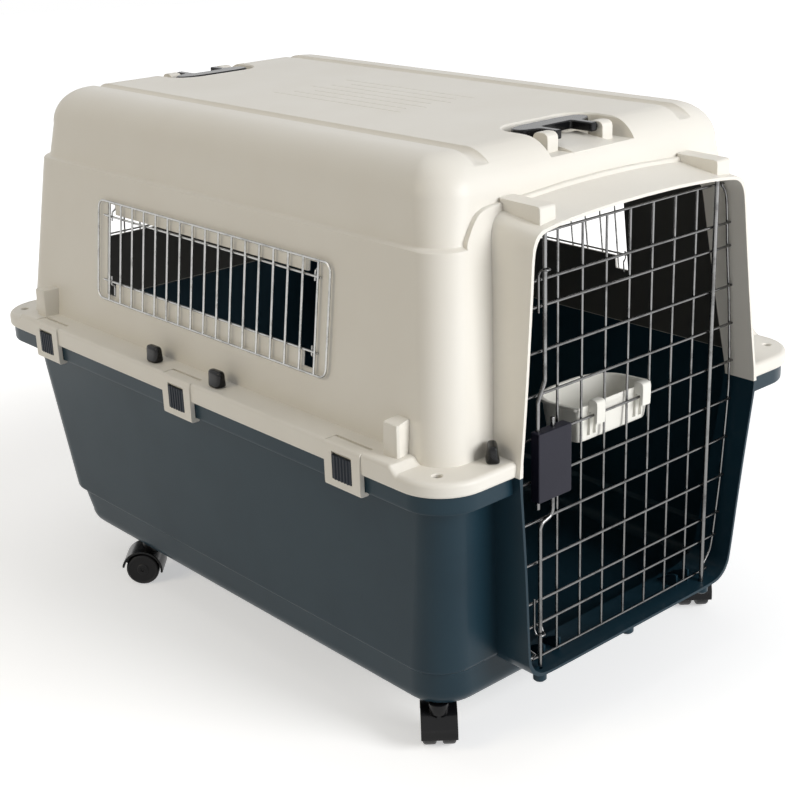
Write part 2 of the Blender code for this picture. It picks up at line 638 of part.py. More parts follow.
def build_latch():
    """The two latch rods with their collars, their housing and the two springs that push the collars."""
    upper_x, lower_x = -166.5, -141.5
    collars = {"upper": (405.5, 408.5), "lower": (348.0, 351.0)}
    upper = swept(bmesh.new(), [(ROD_X, ROD_Y, 656.6), (ROD_X, ROD_Y, 480.0), (ROD_X - 3, ROD_Y, 473.0),
                                (upper_x + 3, ROD_Y, 463.0), (upper_x, ROD_Y, 456.0), (upper_x, ROD_Y, 323.0)], ROD_R, 8)
    lower = swept(bmesh.new(), [(LOWER_ROD_X, ROD_Y, 113.4), (LOWER_ROD_X, ROD_Y, 298.0),
                                (LOWER_ROD_X + 3.5, ROD_Y, 304.0), (lower_x - 3.5, ROD_Y, 308.5),
                                (lower_x, ROD_Y, 315.0), (lower_x, ROD_Y, 433.0)], ROD_R, 8)
    for which, rod, end_x, px in (("upper", upper, ROD_X, upper_x), ("lower", lower, LOWER_ROD_X, lower_x)):
        collar = disc(bmesh.new(), (px, ROD_Y, 0), "z", [(z, COLLAR_R) for z in collars[which]], 12)
        join_all("latch_rod_" + which, STEEL, [rod, collar], (end_x, ROD_Y, 386.0))
    x0, x1, y0, y1, z0, z1 = -174.5, -119.0, -488.0, ROW_Y - WIRE_R - 0.35, 335.3, 421.4
    shell = solid([at_z(rounded(x0, x1, y0, y1, 2.0, 2), z) for z in (z0, z1)])
    housing = new_object("latch_housing", shell, BLACK, (-146.0, -480.0, 378.0))
    wall = 2.4
    inner = box(bmesh.new(), x0 + wall, x1 - wall, y0 + wall, y1 + 5, z0 + wall, z1 - wall)
    holes = bmesh.new()
    for px in (upper_x, lower_x):
        disc(holes, (px, ROD_Y, 0), "z", ((z0 - 5, ROD_R + 0.5), (z1 + 5, ROD_R + 0.5)), 8)
    cut_all(housing, [inner, holes])
    ends = {"upper": (z0 + wall + GAP, collars["upper"][0] - GAP), "lower": (collars["lower"][1] + GAP, z1 - wall - GAP)}
    turns, per = 6, 6
    for which, px in (("upper", upper_x), ("lower", lower_x)):
        low, high = ends[which][0] + SPRING_WIRE, ends[which][1] - SPRING_WIRE
        coil = []
        for k in range(turns * per + 1):
            angle = 2 * math.pi * k / per
            coil.append(Vector((px + SPRING_R * math.cos(angle), ROD_Y + SPRING_R * math.sin(angle),
                                low + (high - low) * k / (turns * per))))
        least = min((a - b).length for i, a in enumerate(coil) for b in coil[i + per - 1:]) - 2 * SPRING_WIRE
        print(f"latch_spring_{which}: least gap between its turns {least:.2f} mm")
        fixed = ends[which][0] if which == "upper" else ends[which][1]
        new_object("latch_spring_" + which, swept(bmesh.new(), coil, SPRING_WIRE, 4), STEEL, (px, ROD_Y, fixed))


def build_bowl():
    """The hang-on bowl: a D-shaped cup with two hooks over a row of the door."""
    def outline(grow, z):
        x0, x1, y0, y1 = -84.0 - grow, 50.0 + grow, -466.2 - min(grow, 0.0), BOWL_BACK_Y + grow
        points = [(x0, y0), (x1, y0)]
        cx, rx = (x0 + x1) / 2, (x1 - x0) / 2
        mid = y0 + 30.0
        for k in range(0, 13):
            angle = math.pi * k / 12
            across = math.copysign(abs(math.cos(angle)) ** 0.75, math.cos(angle))
            points.append((cx + rx * across, mid + (y1 - mid) * max(math.sin(angle), 0.0) ** 0.7))
        return at_z(points, z)
    cup = solid([outline(-7.0, 374.0), outline(-5.0, 376.5), outline(0.0, 416.5), outline(3.0, 417.5),
                 outline(3.0, 421.0), outline(0.5, 422.0)])
    cavity = solid([outline(-8.5, 376.6), outline(-7.2, 378.5), outline(-2.4, 430.0)])
    # The cup leans back a little on its hooks
    pivot = Matrix.Translation((0, -466.0, 410.0))
    for form in (cup, cavity):
        form.transform(pivot @ Matrix.Rotation(-math.radians(BOWL_TILT), 4, "X") @ pivot.inverted())
    bowl = new_object("bowl", cup, WHITE, (-17.0, -466.0, 400.0))
    boolean(bowl, new_object("bowl_cavity", cavity))
    hooks = bmesh.new()
    for px in (-58.0, 26.0):
        outline_yz = [(-464.0, 408.0), (-464.0, 425.0), (-467.0, 429.5), (-476.5, 429.5), (-479.6, 426.0),
                      (-479.6, 400.5), (-475.6, 400.5), (-475.2, 412.5), (-467.0, 412.5), (-466.4, 408.0)]
        prism(hooks, outline_yz, "x", px - 7.5, px + 7.5)
    boolean(bowl, new_object("bowl_hooks", hooks), "UNION")


def build_grilles():
    """Three wire window grilles with hooks through the notches."""
    low, high = GRILLE_Z

    def grille(name, a, b, first, count, place):
        pitch = 28.73
        def at(t, z, depth=0.0):
            return place(t, z, depth)
        frame = []
        r = 12.0
        for t, z, start in ((b - r, low + r, -90), (b - r, high - r, 0), (a + r, high - r, 90), (a + r, low + r, 180)):
            for k in range(4):
                angle = math.radians(start + 30 * k)
                frame.append(at(t + r * math.cos(angle), z + r * math.sin(angle)))
        edge = swept(bmesh.new(), frame, GRILLE_WIRE_R, 6, closed=True, up=place(0, 0, 1) - place(0, 0, 0))
        bars = bmesh.new()
        for k in range(count):
            t = first + k * pitch
            round_bar(bars, at(t, low + 0.4), at(t, high - 0.4), GRILLE_WIRE_R - 0.02, 4, turn=math.radians(41))
        cross = bmesh.new()
        for z, turn in ((580.6, 1), (490.0, -1)):
            round_bar(cross, at(a + 19.0, z, -2.2), at(b - 10.0, z, -2.2), GRILLE_WIRE_R, 5, turn=0.21)
        hooks = bmesh.new()
        for t in (a + 33.0, b - 28.0):
            for z, turn in ((580.6, 1), (490.0, -1)):
                swept(hooks, [at(t, z - 6.5 * turn, -4.1), at(t, z + 6 * turn, -4.1), at(t, z + 9 * turn, -9.8),
                              at(t, z + 25 * turn, -9.8)], 1.25, 6, turn=0.11, up=(0.3, 0.3, 0.1))
        return join_all(name, STEEL, [edge, bars, cross, hooks], tuple(at((a + b) / 2, 532.0)))

    for name, sign in (("window_grille_left", -1), ("window_grille_right", 1)):
        def side(t, z, depth, sign=sign):
            return Vector((sign * (wall_x(z if z else 532.0) + 4.6 + depth), t, z))
        grille(name, -256.7, 254.6, -234.3, 17, side)

    def rear(t, z, depth):
        wall = 475.5 + (447.5 - 475.5) * ((z if z else 532.0) - PART_Z) / (LEDGE_Z - PART_Z)
        return Vector((t, wall + 4.6 + depth, z))
    grille("window_grille_rear", -196.0, 196.0, -172.4, 13, rear)


def build_handles():
    """Two folding bail handles, each on two pins in its lugs."""
    for side, name in ((-1, "roof_handle_front"), (1, "roof_handle_rear")):
        y_axis, z_axis = front_of(side, HANDLE_AXIS[0]), HANDLE_AXIS[1]
        def plan(points):
            return [(x, front_of(side, y)) for x, y in points]
        tip = HANDLE_AXIS[0] - 6.0
        outline = [(-36.5, tip), (-26.0, tip), (-26.0, -353.0), (26.0, -353.0), (26.0, tip), (36.5, tip),
                   (36.5, -360.0), (58.0, -352.0), (62.0, -342.0), (52.0, -331.0), (30.0, -327.0), (-30.0, -327.0),
                   (-52.0, -331.0), (-62.0, -342.0), (-58.0, -352.0), (-36.5, -360.0)]
        bail = prism(bmesh.new(), plan(outline), "z", z_axis - 5.5, z_axis + 5.5)
        pins = round_bar(bmesh.new(), (-50.0, y_axis, z_axis), (50.0, y_axis, z_axis), 3.2, 8)
        middle = box(bmesh.new(), -24.0, 24.0, y_axis - 8, y_axis + 8, z_axis - 14, z_axis + 16)
        handle = join_all(name, BLACK, [bail, pins], (0, y_axis, z_axis))
        cut_all(handle, [middle])


def build_clips():
    """Six snap clips on pins, each with its sliding lock."""
    profile = [(318.0, 406.7), (318.3, 410.0), (320.5, 412.2), (334.2, 412.2), (337.4, 410.4), (338.5, 406.5),
               (338.5, 360.5), (336.0, 357.5), (326.4, 357.5), (325.2, 361.9), (332.0, 362.4), (332.0, 400.4),
               (328.5, 401.4), (323.5, 401.4), (319.6, 403.0)]
    for sign, letter in ((-1, "left"), (1, "right")):
        for index, y in enumerate(CLIP_Y, 1):
            tag = f"{letter}_{index}"
            ax, az = sign * CLIP_AXIS[0], CLIP_AXIS[1]
            body = prism(bmesh.new(), [(sign * x, z) for x, z in profile], "y", y - CLIP_HALF, y + CLIP_HALF)
            clip = new_object("clip_" + tag, body, IVORY, (ax, y, az))
            bore = round_bar(bmesh.new(), (ax, y - 40, az), (ax, y + 40, az), PIN_R + GAP, 8)
            x0, x1 = sorted((sign * 334.6, sign * 350.0))
            seat = box(bmesh.new(), x0, x1, y - 17.8, y + 17.8, 368.7, 402.8)
            cut_all(clip, [bore, seat])
            grip = [(334.9, -17.4), (339.1, -17.4)]
            for rib in (-12.8, -7.2, -1.6, 4.0, 9.6):
                grip += [(339.1, rib), (340.1, rib + 0.7), (340.1, rib + 2.5), (339.1, rib + 3.2)]
            grip += [(339.1, 17.4), (334.9, 17.4)]
            lock = prism(bmesh.new(), [(sign * x, y + t) for x, t in grip], "z", 369.0, 399.0)
            new_object("clip_lock_" + tag, lock, PETROL, (sign * 337.0, y, 384.0))
            pin = round_bar(bmesh.new(), (ax, y - 36.8, az), (ax, y + 36.8, az), PIN_R, 8)
            new_object("clip_pin_" + tag, pin, STEEL, (ax, y, az))


def knob_places():
    """Name, place, height of the seat and turn of each wing knob."""
    for sign, letter in ((-1, "left"), (1, "right")):
        for index, y in enumerate(SIDE_KNOB_Y, 1):
            yield f"{letter}_{index}", (sign * SIDE_KNOB_X, y, RUN_TOP + GAP), 90.0
        yield f"front_{letter}", (sign * FRONT_KNOB[0], FRONT_KNOB[1], FLANGE_TOP + GAP), 49.0


def build_knobs():
    """Wing knobs on the flange and the bolts that they run on."""
    for tag, (x, y, seat), turn in knob_places():
        def wing(a, b, rise, chamfer=0.45):
            c = b * chamfer
            points = [(-a, -b + c), (-a + c, -b), (a - c, -b), (a, -b + c), (a, b - c), (a - c, b), (-a + c, b),
                      (-a, b - c)]
            spin = Matrix.Rotation(math.radians(turn), 2)
            return at_z([tuple(Vector((x, y)) + spin @ Vector(p)) for p in points], seat + rise)
        knob = solid([wing(10.5, 7.5, 0.0), wing(12.0, 8.0, 2.0), wing(13.2, 6.8, 7.0), wing(13.2, 6.0, 18.0),
                      wing(11.5, 4.6, 21.5)])
        made = new_object("knob_" + tag, knob, BLACK, (x, y, seat))
        cut_all(made, [disc(bmesh.new(), (x, y, 0), "z", ((seat - 4, 3.35), (seat + 14, 3.35)), 8)])
        bolt = disc(bmesh.new(), (x, y, 0), "z", ((376.5, 5.4), (380.2, 5.4), (380.2, 3.0), (seat + 13, 3.0)), 6)
        new_object("bolt_" + tag, bolt, STEEL, (x, y, 380.2))


def build_casters():
    """Four hooded twin-wheel casters."""
    for sign, side in ((-1, "left"), (1, "right")):
        for where in ("front", "rear"):
            cx, cy, heading = CASTERS[where]
            tag = f"{where}_{side}"
            centre = Vector((sign * cx, cy, 0))
            turn = Matrix.Rotation(math.radians(-heading), 4, "Z")
            axle_y, axle_z, r = 13.0, 25.0, 25.0
            hood_points = []
            for a in range(10, 191, 20):
                hood_points.append((axle_y + 31.0 * math.cos(math.radians(a)), axle_z + 31.0 * math.sin(math.radians(a))))
            for a in range(190, 9, -20):
                hood_points.append((axle_y + 27.6 * math.cos(math.radians(a)), axle_z + 27.6 * math.sin(math.radians(a))))
            hood_part = prism(bmesh.new(), hood_points, "x", -23.0, 23.0)
            web = prism(bmesh.new(), [(axle_y - 29.0, 30.0), (axle_y - 8, 20.0), (axle_y + 8, 18.0), (axle_y + 29.0, 30.0),
                                      (axle_y + 18, 50.0), (axle_y - 22, 50.0)], "x", -2.6, 2.6)
            neck = disc(bmesh.new(), (0, 0, 0), "z", ((50.8, 12.0), (60.0, 12.5), (65.7, 12.5), (65.7, 5.0), (77.5, 5.0)), 12)
            axle = disc(bmesh.new(), (0, axle_y, axle_z), "x", ((-20.0, 3.0), (20.0, 3.0)), 8)
            for piece in (hood_part, web, neck, axle):
                piece.transform(turn)
                piece.transform(Matrix.Translation(centre))
            join_all("caster_" + tag, BLACK, [hood_part, web, neck, axle], tuple(centre + Vector((0, 0, 66.0))))
            hub = turn @ Vector((0, axle_y, axle_z)) + centre
            for letter, a, b in (("a", -21.0, -3.4), ("b", 3.4, 21.0)):
                stations = ((a, 21.0), (a + 3.0, r), (b - 3.0, r), (b, 21.0))
                wheel = disc(bmesh.new(), (0, 0, 0), "x", stations, 14, math.pi / 2)
                bore = disc(bmesh.new(), (0, 0, 0), "x", ((a - 5, 3.35), (b + 5, 3.35)), 8)
                for piece in (wheel, bore):
                    piece.transform(turn)
                    piece.transform(Matrix.Translation(hub))
                made = new_object(f"wheel_{tag}_{letter}", wheel, RUBBER, tuple(hub))
                cut_all(made, [bore])


build_upper_shell()
build_lower_shell()
build_door()
build_latch()
build_bowl()
build_grilles()
build_handles()
build_clips()
build_knobs()
build_casters()
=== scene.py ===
"""Visual model of the pet travel crate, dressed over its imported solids.

Forms are drawn in millimetres and become metres as objects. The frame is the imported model's: +Z up, the
door faces -Y, and the origin lies on the floor under the middle of the crate.
"""

import logging
import math
from dataclasses import dataclass
from enum import Enum
from typing import Iterator, Optional, Sequence, Union

import bmesh
import bpy
from mathutils import Matrix, Vector


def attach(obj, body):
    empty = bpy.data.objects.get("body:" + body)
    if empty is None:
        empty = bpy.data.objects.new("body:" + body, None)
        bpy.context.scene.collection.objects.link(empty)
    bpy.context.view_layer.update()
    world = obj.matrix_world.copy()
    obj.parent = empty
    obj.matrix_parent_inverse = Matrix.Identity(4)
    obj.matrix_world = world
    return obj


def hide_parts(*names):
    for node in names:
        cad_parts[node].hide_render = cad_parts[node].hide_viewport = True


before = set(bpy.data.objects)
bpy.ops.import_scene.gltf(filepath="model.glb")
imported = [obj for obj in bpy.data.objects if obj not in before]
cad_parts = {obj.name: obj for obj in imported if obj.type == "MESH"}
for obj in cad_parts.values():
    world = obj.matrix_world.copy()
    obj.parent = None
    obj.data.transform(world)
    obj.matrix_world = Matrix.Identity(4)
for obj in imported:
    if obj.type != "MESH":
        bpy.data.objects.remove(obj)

LOG = logging.getLogger("crate")
MM = 0.001
Point = Sequence[float]
Ring = Sequence[Point]
Number = Union[float, "Signal"]


class Axis(Enum):
    """The three directions of the frame."""

    X = 0
    Y = 1
    Z = 2


class Join(Enum):
    """How a tool form meets a body."""

    ADD = "UNION"
    CUT = "DIFFERENCE"


class Choice(Enum):
    """A choice whose name goes into the names of pieces."""

    @property
    def word(self) -> str:
        """The choice's name in lower case."""
        return self.name.lower()


class Side(Choice):
    """Left and right of someone who faces the door."""

    LEFT = -1
    RIGHT = 1


class End(Choice):
    """The door end and the far end."""

    FRONT = -1
    REAR = 1


# Shader building


@dataclass(frozen=True)
class Signal:
    """A value in a material's nodes, with arithmetic that adds Math nodes."""

    shade: "Shade"
    socket: bpy.types.NodeSocket

    def _math(self, operation: str, a: Number, b: Number = 0.0) -> "Signal":
        """One Math node.

        Args:
            operation: the node's operation.
            a: first operand.
            b: second operand.

        Returns:
            The node's value.
        """
        return self.shade.make("ShaderNodeMath", {"operation": operation}, {0: a, 1: b})

    def __add__(self, other: Number) -> "Signal":
        """Sum."""
        return self._math("ADD", self, other)

    __radd__ = __add__

    def __sub__(self, other: Number) -> "Signal":
        """Difference."""
        return self._math("SUBTRACT", self, other)

    def __rsub__(self, other: Number) -> "Signal":
        """Reflected difference."""
        return self._math("SUBTRACT", other, self)

    def __mul__(self, other: Number) -> "Signal":
        """Product."""
        return self._math("MULTIPLY", self, other)

    __rmul__ = __mul__

    def __pow__(self, other: Number) -> "Signal":
        """Power."""
        return self._math("POWER", self, other)

    def step(self, low: float, high: float) -> "Signal":
        """0 below low and 1 above high, smooth between.

        Args:
            low: where the rise starts.
            high: where it ends.

        Returns:
            The mask.
        """
        return self.shade.make(
            "ShaderNodeMapRange",
            {"interpolation_type": "SMOOTHSTEP"},
            {"Value": self, "From Min": low, "From Max": high},
        )

    def absolute(self) -> "Signal":
        """Size without the sign."""
        return self._math("ABSOLUTE", self)

    def larger(self, other: Number) -> "Signal":
        """The larger of the two."""
        return self._math("MAXIMUM", self, other)


class Shade:
    """The node tree of a material or of the world."""

    def __init__(self, owner: Union[bpy.types.Material, bpy.types.World],
                 shader: str = "Principled BSDF") -> None:
        """Takes over the nodes that a material or a world starts with.

        Args:
            owner: the material or the world.
            shader: the name of its shader node.
        """
        owner.use_nodes = True
        self.owner = owner
        self.tree = owner.node_tree
        self.shader = self.tree.nodes[shader]

    def node(self, kind: str, settings: dict, sockets: dict) -> bpy.types.Node:
        """Adds a node.

        Args:
            kind: the node's type.
            settings: attributes that are set first.
            sockets: inputs by name or index, as values or signals.

        Returns:
            The node.
        """
        made = self.tree.nodes.new(kind)
        for key, value in settings.items():
            setattr(made, key, value)
        for key, value in sockets.items():
            if isinstance(value, Signal):
                self.tree.links.new(value.socket, made.inputs[key])
            else:
                made.inputs[key].default_value = value
        return made

    def make(self, kind: str, settings: dict, sockets: dict, output: Union[int, str] = 0) -> Signal:
        """Adds a node and hands over one of its outputs.

        Args:
            kind: the node's type.
            settings: see node.
            sockets: see node.
            output: the output's index or name.

        Returns:
            The output as a signal.
        """
        return Signal(self, self.node(kind, settings, sockets).outputs[output])

    def place(self) -> Signal:
        """The point on the object, in metres."""
        return self.make("ShaderNodeTexCoord", {}, {}, "Object")

    def noise(self, where: Signal, scale: float, detail: float = 2.0, rough: float = 0.5) -> Signal:
        """Noise from 0 to 1 round 0.5.

        Args:
            where: the point.
            scale: features per metre.
            detail: octaves.
            rough: weight of the finer octaves.

        Returns:
            The noise value.
        """
        return self.make("ShaderNodeTexNoise", {}, {"Vector": where, "Scale": scale, "Detail": detail,
                                                     "Roughness": rough})

    def mix(self, share: Number, first: Union[Signal, tuple], second: Union[Signal, tuple]) -> Signal:
        """Blend of two colours.

        Args:
            share: weight of the second.
            first: a colour or a signal.
            second: a colour or a signal.

        Returns:
            The blended colour.
        """
        values = {0: share}
        for key, colour in ((6, first), (7, second)):
            values[key] = colour if isinstance(colour, Signal) else (*colour, 1.0)
        return self.make("ShaderNodeMix", {"data_type": "RGBA"}, values, 2)

    def split(self, where: Signal) -> tuple[Signal, Signal, Signal]:
        """The three parts of a vector."""
        made = self.node("ShaderNodeSeparateXYZ", {}, {0: where})
        return tuple(Signal(self, made.outputs[k]) for k in range(3))

    def seen(self) -> Signal:
        """1 for what the camera sees, also mirrored or through glass, and 0 for light on the object."""
        camera, glossy, through = (self.make("ShaderNodeLightPath", {}, {}, f"Is {kind} Ray")
                                   for kind in ("Camera", "Glossy", "Transmission"))
        return camera.larger(glossy).larger(through)

    def set(self, **sockets: object) -> None:
        """Sets or links inputs of the shader, with underscores for the spaces in their names.

        Args:
            **sockets: values or signals by input name.
        """
        for key, value in sockets.items():
            socket = self.shader.inputs[key.replace("_", " ")]
            if isinstance(value, Signal):
                self.tree.links.new(value.socket, socket)
            elif isinstance(value, tuple) and len(value) == 3 and socket.type == "RGBA":
                socket.default_value = (*value, 1.0)
            else:
                socket.default_value = value

    def bump(self, height: Signal, strength: float, distance: float) -> None:
        """Raises the surface by the height.

        Args:
            height: the height signal, 0 to 1.
            strength: share of the effect.
            distance: depth in metres.
        """
        self.set(Normal=self.make("ShaderNodeBump", {}, {"Strength": strength, "Distance": distance,
                                                         "Height": height}))


@dataclass(frozen=True)
class PaintedCabinShade:
    """Painted shade for the inner faces of the upper shell's sloping walls, whose places are given in metres
    from the frame's origin.
    """

    foot: float = 0.386
    height: float = 0.246
    half: float = 0.3
    front: float = 0.4595
    rear: float = 0.4755
    side_slope: float = 0.1255
    front_slope: float = 0.1086
    rear_slope: float = 0.1106
    corner: float = 0.042
    depth: tuple = (0.0026, 0.0032)
    foot_blend: float = 0.001
    head_blend: float = 0.002

    def mask(self, shade: Shade, where: Signal) -> Signal:
        """The inner faces, which get painted shade, found by the distance in from the walls' outer faces.

        Args:
            shade: the material's nodes.
            where: the point, in metres.

        Returns:
            1 on the inner faces, where the shade is painted, and 0 on the outer ones.
        """
        x, y, z = shade.split(where)
        rise = z - self.foot
        side = (self.corner - (self.half - rise * self.side_slope - x.absolute())).larger(0.0)
        front = (self.corner - (y + self.front - rise * self.front_slope)).larger(0.0)
        rear = (self.corner - (self.rear - rise * self.rear_slope - y)).larger(0.0)
        end = front.larger(rear)
        depth = self.corner - (side * side + end * end) ** 0.5
        return (depth.step(*self.depth) * rise.step(0.0, self.foot_blend)
                * (self.height - rise).step(0.0, self.head_blend))


@dataclass(frozen=True)
class MouldedPlastic:
    """Injection-moulded plastic with a fine spark-eroded grain."""

    name: str
    colour: tuple[float, float, float]
    shade_colour: tuple[float, float, float]
    roughness: float = 0.42
    spread: float = 0.10
    grain: float = 0.00006
    grain_scale: float = 900.0
    coarse_scale: float = 333.0
    cloud_scale: float = 9.0
    coat: float = 0.0
    coat_roughness: float = 0.12
    specular: float = 0.5
    bump_strength: float = 0.6
    # a near-black colour painted on the cabin's inner faces as painted shade; empty for none
    inner_colour: tuple = ()

    def material(self) -> bpy.types.Material:
        """Builds the nodes.

        Returns:
            The finished material.
        """
        shade = Shade(bpy.data.materials.new(self.name))
        where = shade.place()
        broad = shade.noise(where, self.cloud_scale, 3.0)
        fine = shade.noise(where, self.grain_scale, 2.0, 0.6)
        coarse = shade.noise(where, self.coarse_scale, 1.0)
        cloud = broad.step(0.3, 0.75) * 0.7 + fine.step(0.2, 0.8) * 0.3
        colour = shade.mix(cloud, self.colour, self.shade_colour)
        # The cabin's inner faces get a near-black colour: painted shade for the dark inside of the shell.
        if self.inner_colour:
            colour = shade.mix(PaintedCabinShade().mask(shade, where), colour, self.inner_colour)
        shade.set(
            Base_Color=colour,
            Roughness=self.roughness + (fine - 0.5) * self.spread + (broad - 0.5) * self.spread,
            Specular_IOR_Level=self.specular,
            Coat_Weight=self.coat,
            Coat_Roughness=self.coat_roughness,
        )
        shade.bump(fine * 0.8 + coarse * 0.5, self.bump_strength, self.grain)
        return shade.owner


@dataclass(frozen=True)
class PlatedWire:
    """Zinc-plated steel wire with faint drawing marks and duller patches."""

    name: str
    # darkened below the plated steel's own colour as painted shade
    colour: tuple[float, float, float] = (0.20, 0.20, 0.20)
    dull_colour: tuple[float, float, float] = (0.07, 0.07, 0.07)
    roughness: float = 0.20
    patch_scale: float = 45.0
    mark_scale: float = 1400.0
    mark_depth: float = 0.00003

    def material(self) -> bpy.types.Material:
        """Builds the nodes.

        Returns:
            The finished material.
        """
        shade = Shade(bpy.data.materials.new(self.name))
        where = shade.place()
        dull = shade.noise(where, self.patch_scale, 3.0, 0.6).step(0.45, 0.75)
        marks = shade.noise(where, self.mark_scale, 1.0)
        shade.set(
            Base_Color=shade.mix(dull * 0.75, self.colour, self.dull_colour),
            Metallic=1.0,
            Roughness=self.roughness + dull * 0.14 + (marks - 0.5) * 0.08,
        )
        shade.bump(marks, 0.4, self.mark_depth)
        return shade.owner


@dataclass(frozen=True)
class Palette:
    """The finishes of the crate."""

    # The ivory's near-black last colour is painted shade on the cabin's inner faces.
    ivory: MouldedPlastic = MouldedPlastic(
        "ivory_shell", (0.80, 0.775, 0.715), (0.775, 0.745, 0.68), roughness=0.44,
        inner_colour=(0.07, 0.068, 0.062))
    petrol: MouldedPlastic = MouldedPlastic(
        "petrol_shell", (0.010, 0.032, 0.048), (0.007, 0.024, 0.037), roughness=0.34, spread=0.12,
        grain=0.00008, grain_scale=800.0, coarse_scale=296.0, specular=0.22)
    bowl: MouldedPlastic = MouldedPlastic(
        "bowl_plastic", (0.80, 0.79, 0.74), (0.77, 0.76, 0.70), roughness=0.34)
    black: MouldedPlastic = MouldedPlastic(
        "black_gloss", (0.005, 0.005, 0.006), (0.008, 0.008, 0.009), roughness=0.20, spread=0.08,
        grain=0.00003, grain_scale=700.0, coarse_scale=259.0, coat=0.1, specular=0.2)
    navy: MouldedPlastic = MouldedPlastic(
        "navy_lock", (0.008, 0.014, 0.024), (0.006, 0.010, 0.018), roughness=0.36, specular=0.2)
    plate: MouldedPlastic = MouldedPlastic(
        "latch_plate", (0.009, 0.009, 0.019), (0.007, 0.007, 0.015), specular=0.22)
    wheel: MouldedPlastic = MouldedPlastic(
        "wheel_tread", (0.007, 0.007, 0.008), (0.011, 0.011, 0.012), roughness=0.38, spread=0.14,
        specular=0.25)
    # Shaded and lit copies of one plated wire: the plain wire's colour is darkened as painted shade, and the
    # grilles' lighter copy is painted light.
    wire: PlatedWire = PlatedWire("plated_wire")
    bright: PlatedWire = PlatedWire("bright_wire", (0.46, 0.46, 0.45), (0.26, 0.26, 0.25))


class Paintbox:
    """Makes each finish's material once."""

    def __init__(self, palette: Palette) -> None:
        """Keeps the palette.

        Args:
            palette: the finishes.
        """
        self.palette = palette
        self.made: dict[str, bpy.types.Material] = {}

    def material(self, key: str) -> bpy.types.Material:
        """The material of a finish.

        Args:
            key: the palette's field.

        Returns:
            The material, made on first use.
        """
        if key not in self.made:
            self.made[key] = getattr(self.palette, key).material()
        return self.made[key]


PAINT = Paintbox(Palette())


# Forms


def rounded(x0: float, x1: float, y0: float, y1: float, r: float, steps: int = 9) -> list[Point]:
    """Outline of a rounded rectangle.

    Args:
        x0: left edge.
        x1: right edge.
        y0: lower edge.
        y1: upper edge.
        r: corner radius.
        steps: facets in each corner.

    Returns:
        Points, anticlockwise.
    """
    points = []
    corners = ((x1 - r, y0 + r, -90), (x1 - r, y1 - r, 0), (x0 + r, y1 - r, 90), (x0 + r, y0 + r, 180))
    for cx, cy, start in corners:
        for k in range(steps + 1):
            angle = math.radians(start + 90 * k / steps)
            points.append((cx + r * math.cos(angle), cy + r * math.sin(angle)))
    return points


def at_z(points: Sequence[Point], z: float) -> list[Point]:
    """A flat outline lifted to a height."""
    return [(p[0], p[1], z) for p in points]


def mirrored(half: Sequence[Vector]) -> list[Point]:
    """A right half of an outline, from its foot to the middle line, and its mirror image on the left."""
    return [(p.x, p.y) for p in half] + [(-p.x, p.y) for p in reversed(half) if p.x > 1e-6]


def smooth(points: Sequence[Point], per: int = 4, closed: bool = False) -> list[Vector]:
    """A curve through the points.

    Args:
        points: the points to pass.
        per: spans between two points.
        closed: whether the curve returns to its start.

    Returns:
        Points along the curve.
    """
    given = [Vector(p) for p in points]
    count = len(given)
    spans = count if closed else count - 1
    made: list[Vector] = []
    for i in range(spans):
        if closed:
            p0, p1, p2, p3 = (given[(i + k) % count] for k in (-1, 0, 1, 2))
        else:
            p1, p2 = given[i], given[i + 1]
            p0 = given[i - 1] if i else p1 + (p1 - p2)
            p3 = given[i + 2] if i + 2 < count else p2 + (p2 - p1)
        for k in range(per):
            t = k / per
            made.append(0.5 * (2 * p1 + (p2 - p0) * t + (2 * p0 - 5 * p1 + 4 * p2 - p3) * t * t
                               + (3 * p1 - p0 - 3 * p2 + p3) * t ** 3))
    if not closed:
        made.append(given[-1])
    return made


def bent(points: Sequence[Point], radius: float, steps: int = 5) -> list[Vector]:
    """A polyline with its inner corners rounded.

    Args:
        points: corners of the path.
        radius: bend radius, cut down where a leg is short.
        steps: facets of each bend.

    Returns:
        Points along the path.
    """
    given = [Vector(p) for p in points]
    made = [given[0]]
    for before, here, after in zip(given, given[1:], given[2:]):
        into, out = (here - before), (after - here)
        angle = into.angle(out) if into.length and out.length else 0.0
        if angle < 0.02:
            made.append(here)
            continue
        reach = min(radius * math.tan(angle / 2), into.length * 0.48, out.length * 0.48)
        a, b = here - into.normalized() * reach, here + out.normalized() * reach
        for k in range(steps + 1):
            t = k / steps
            made.append(a * (1 - t) ** 2 + here * (2 * t * (1 - t)) + b * t * t)
    made.append(given[-1])
    return made


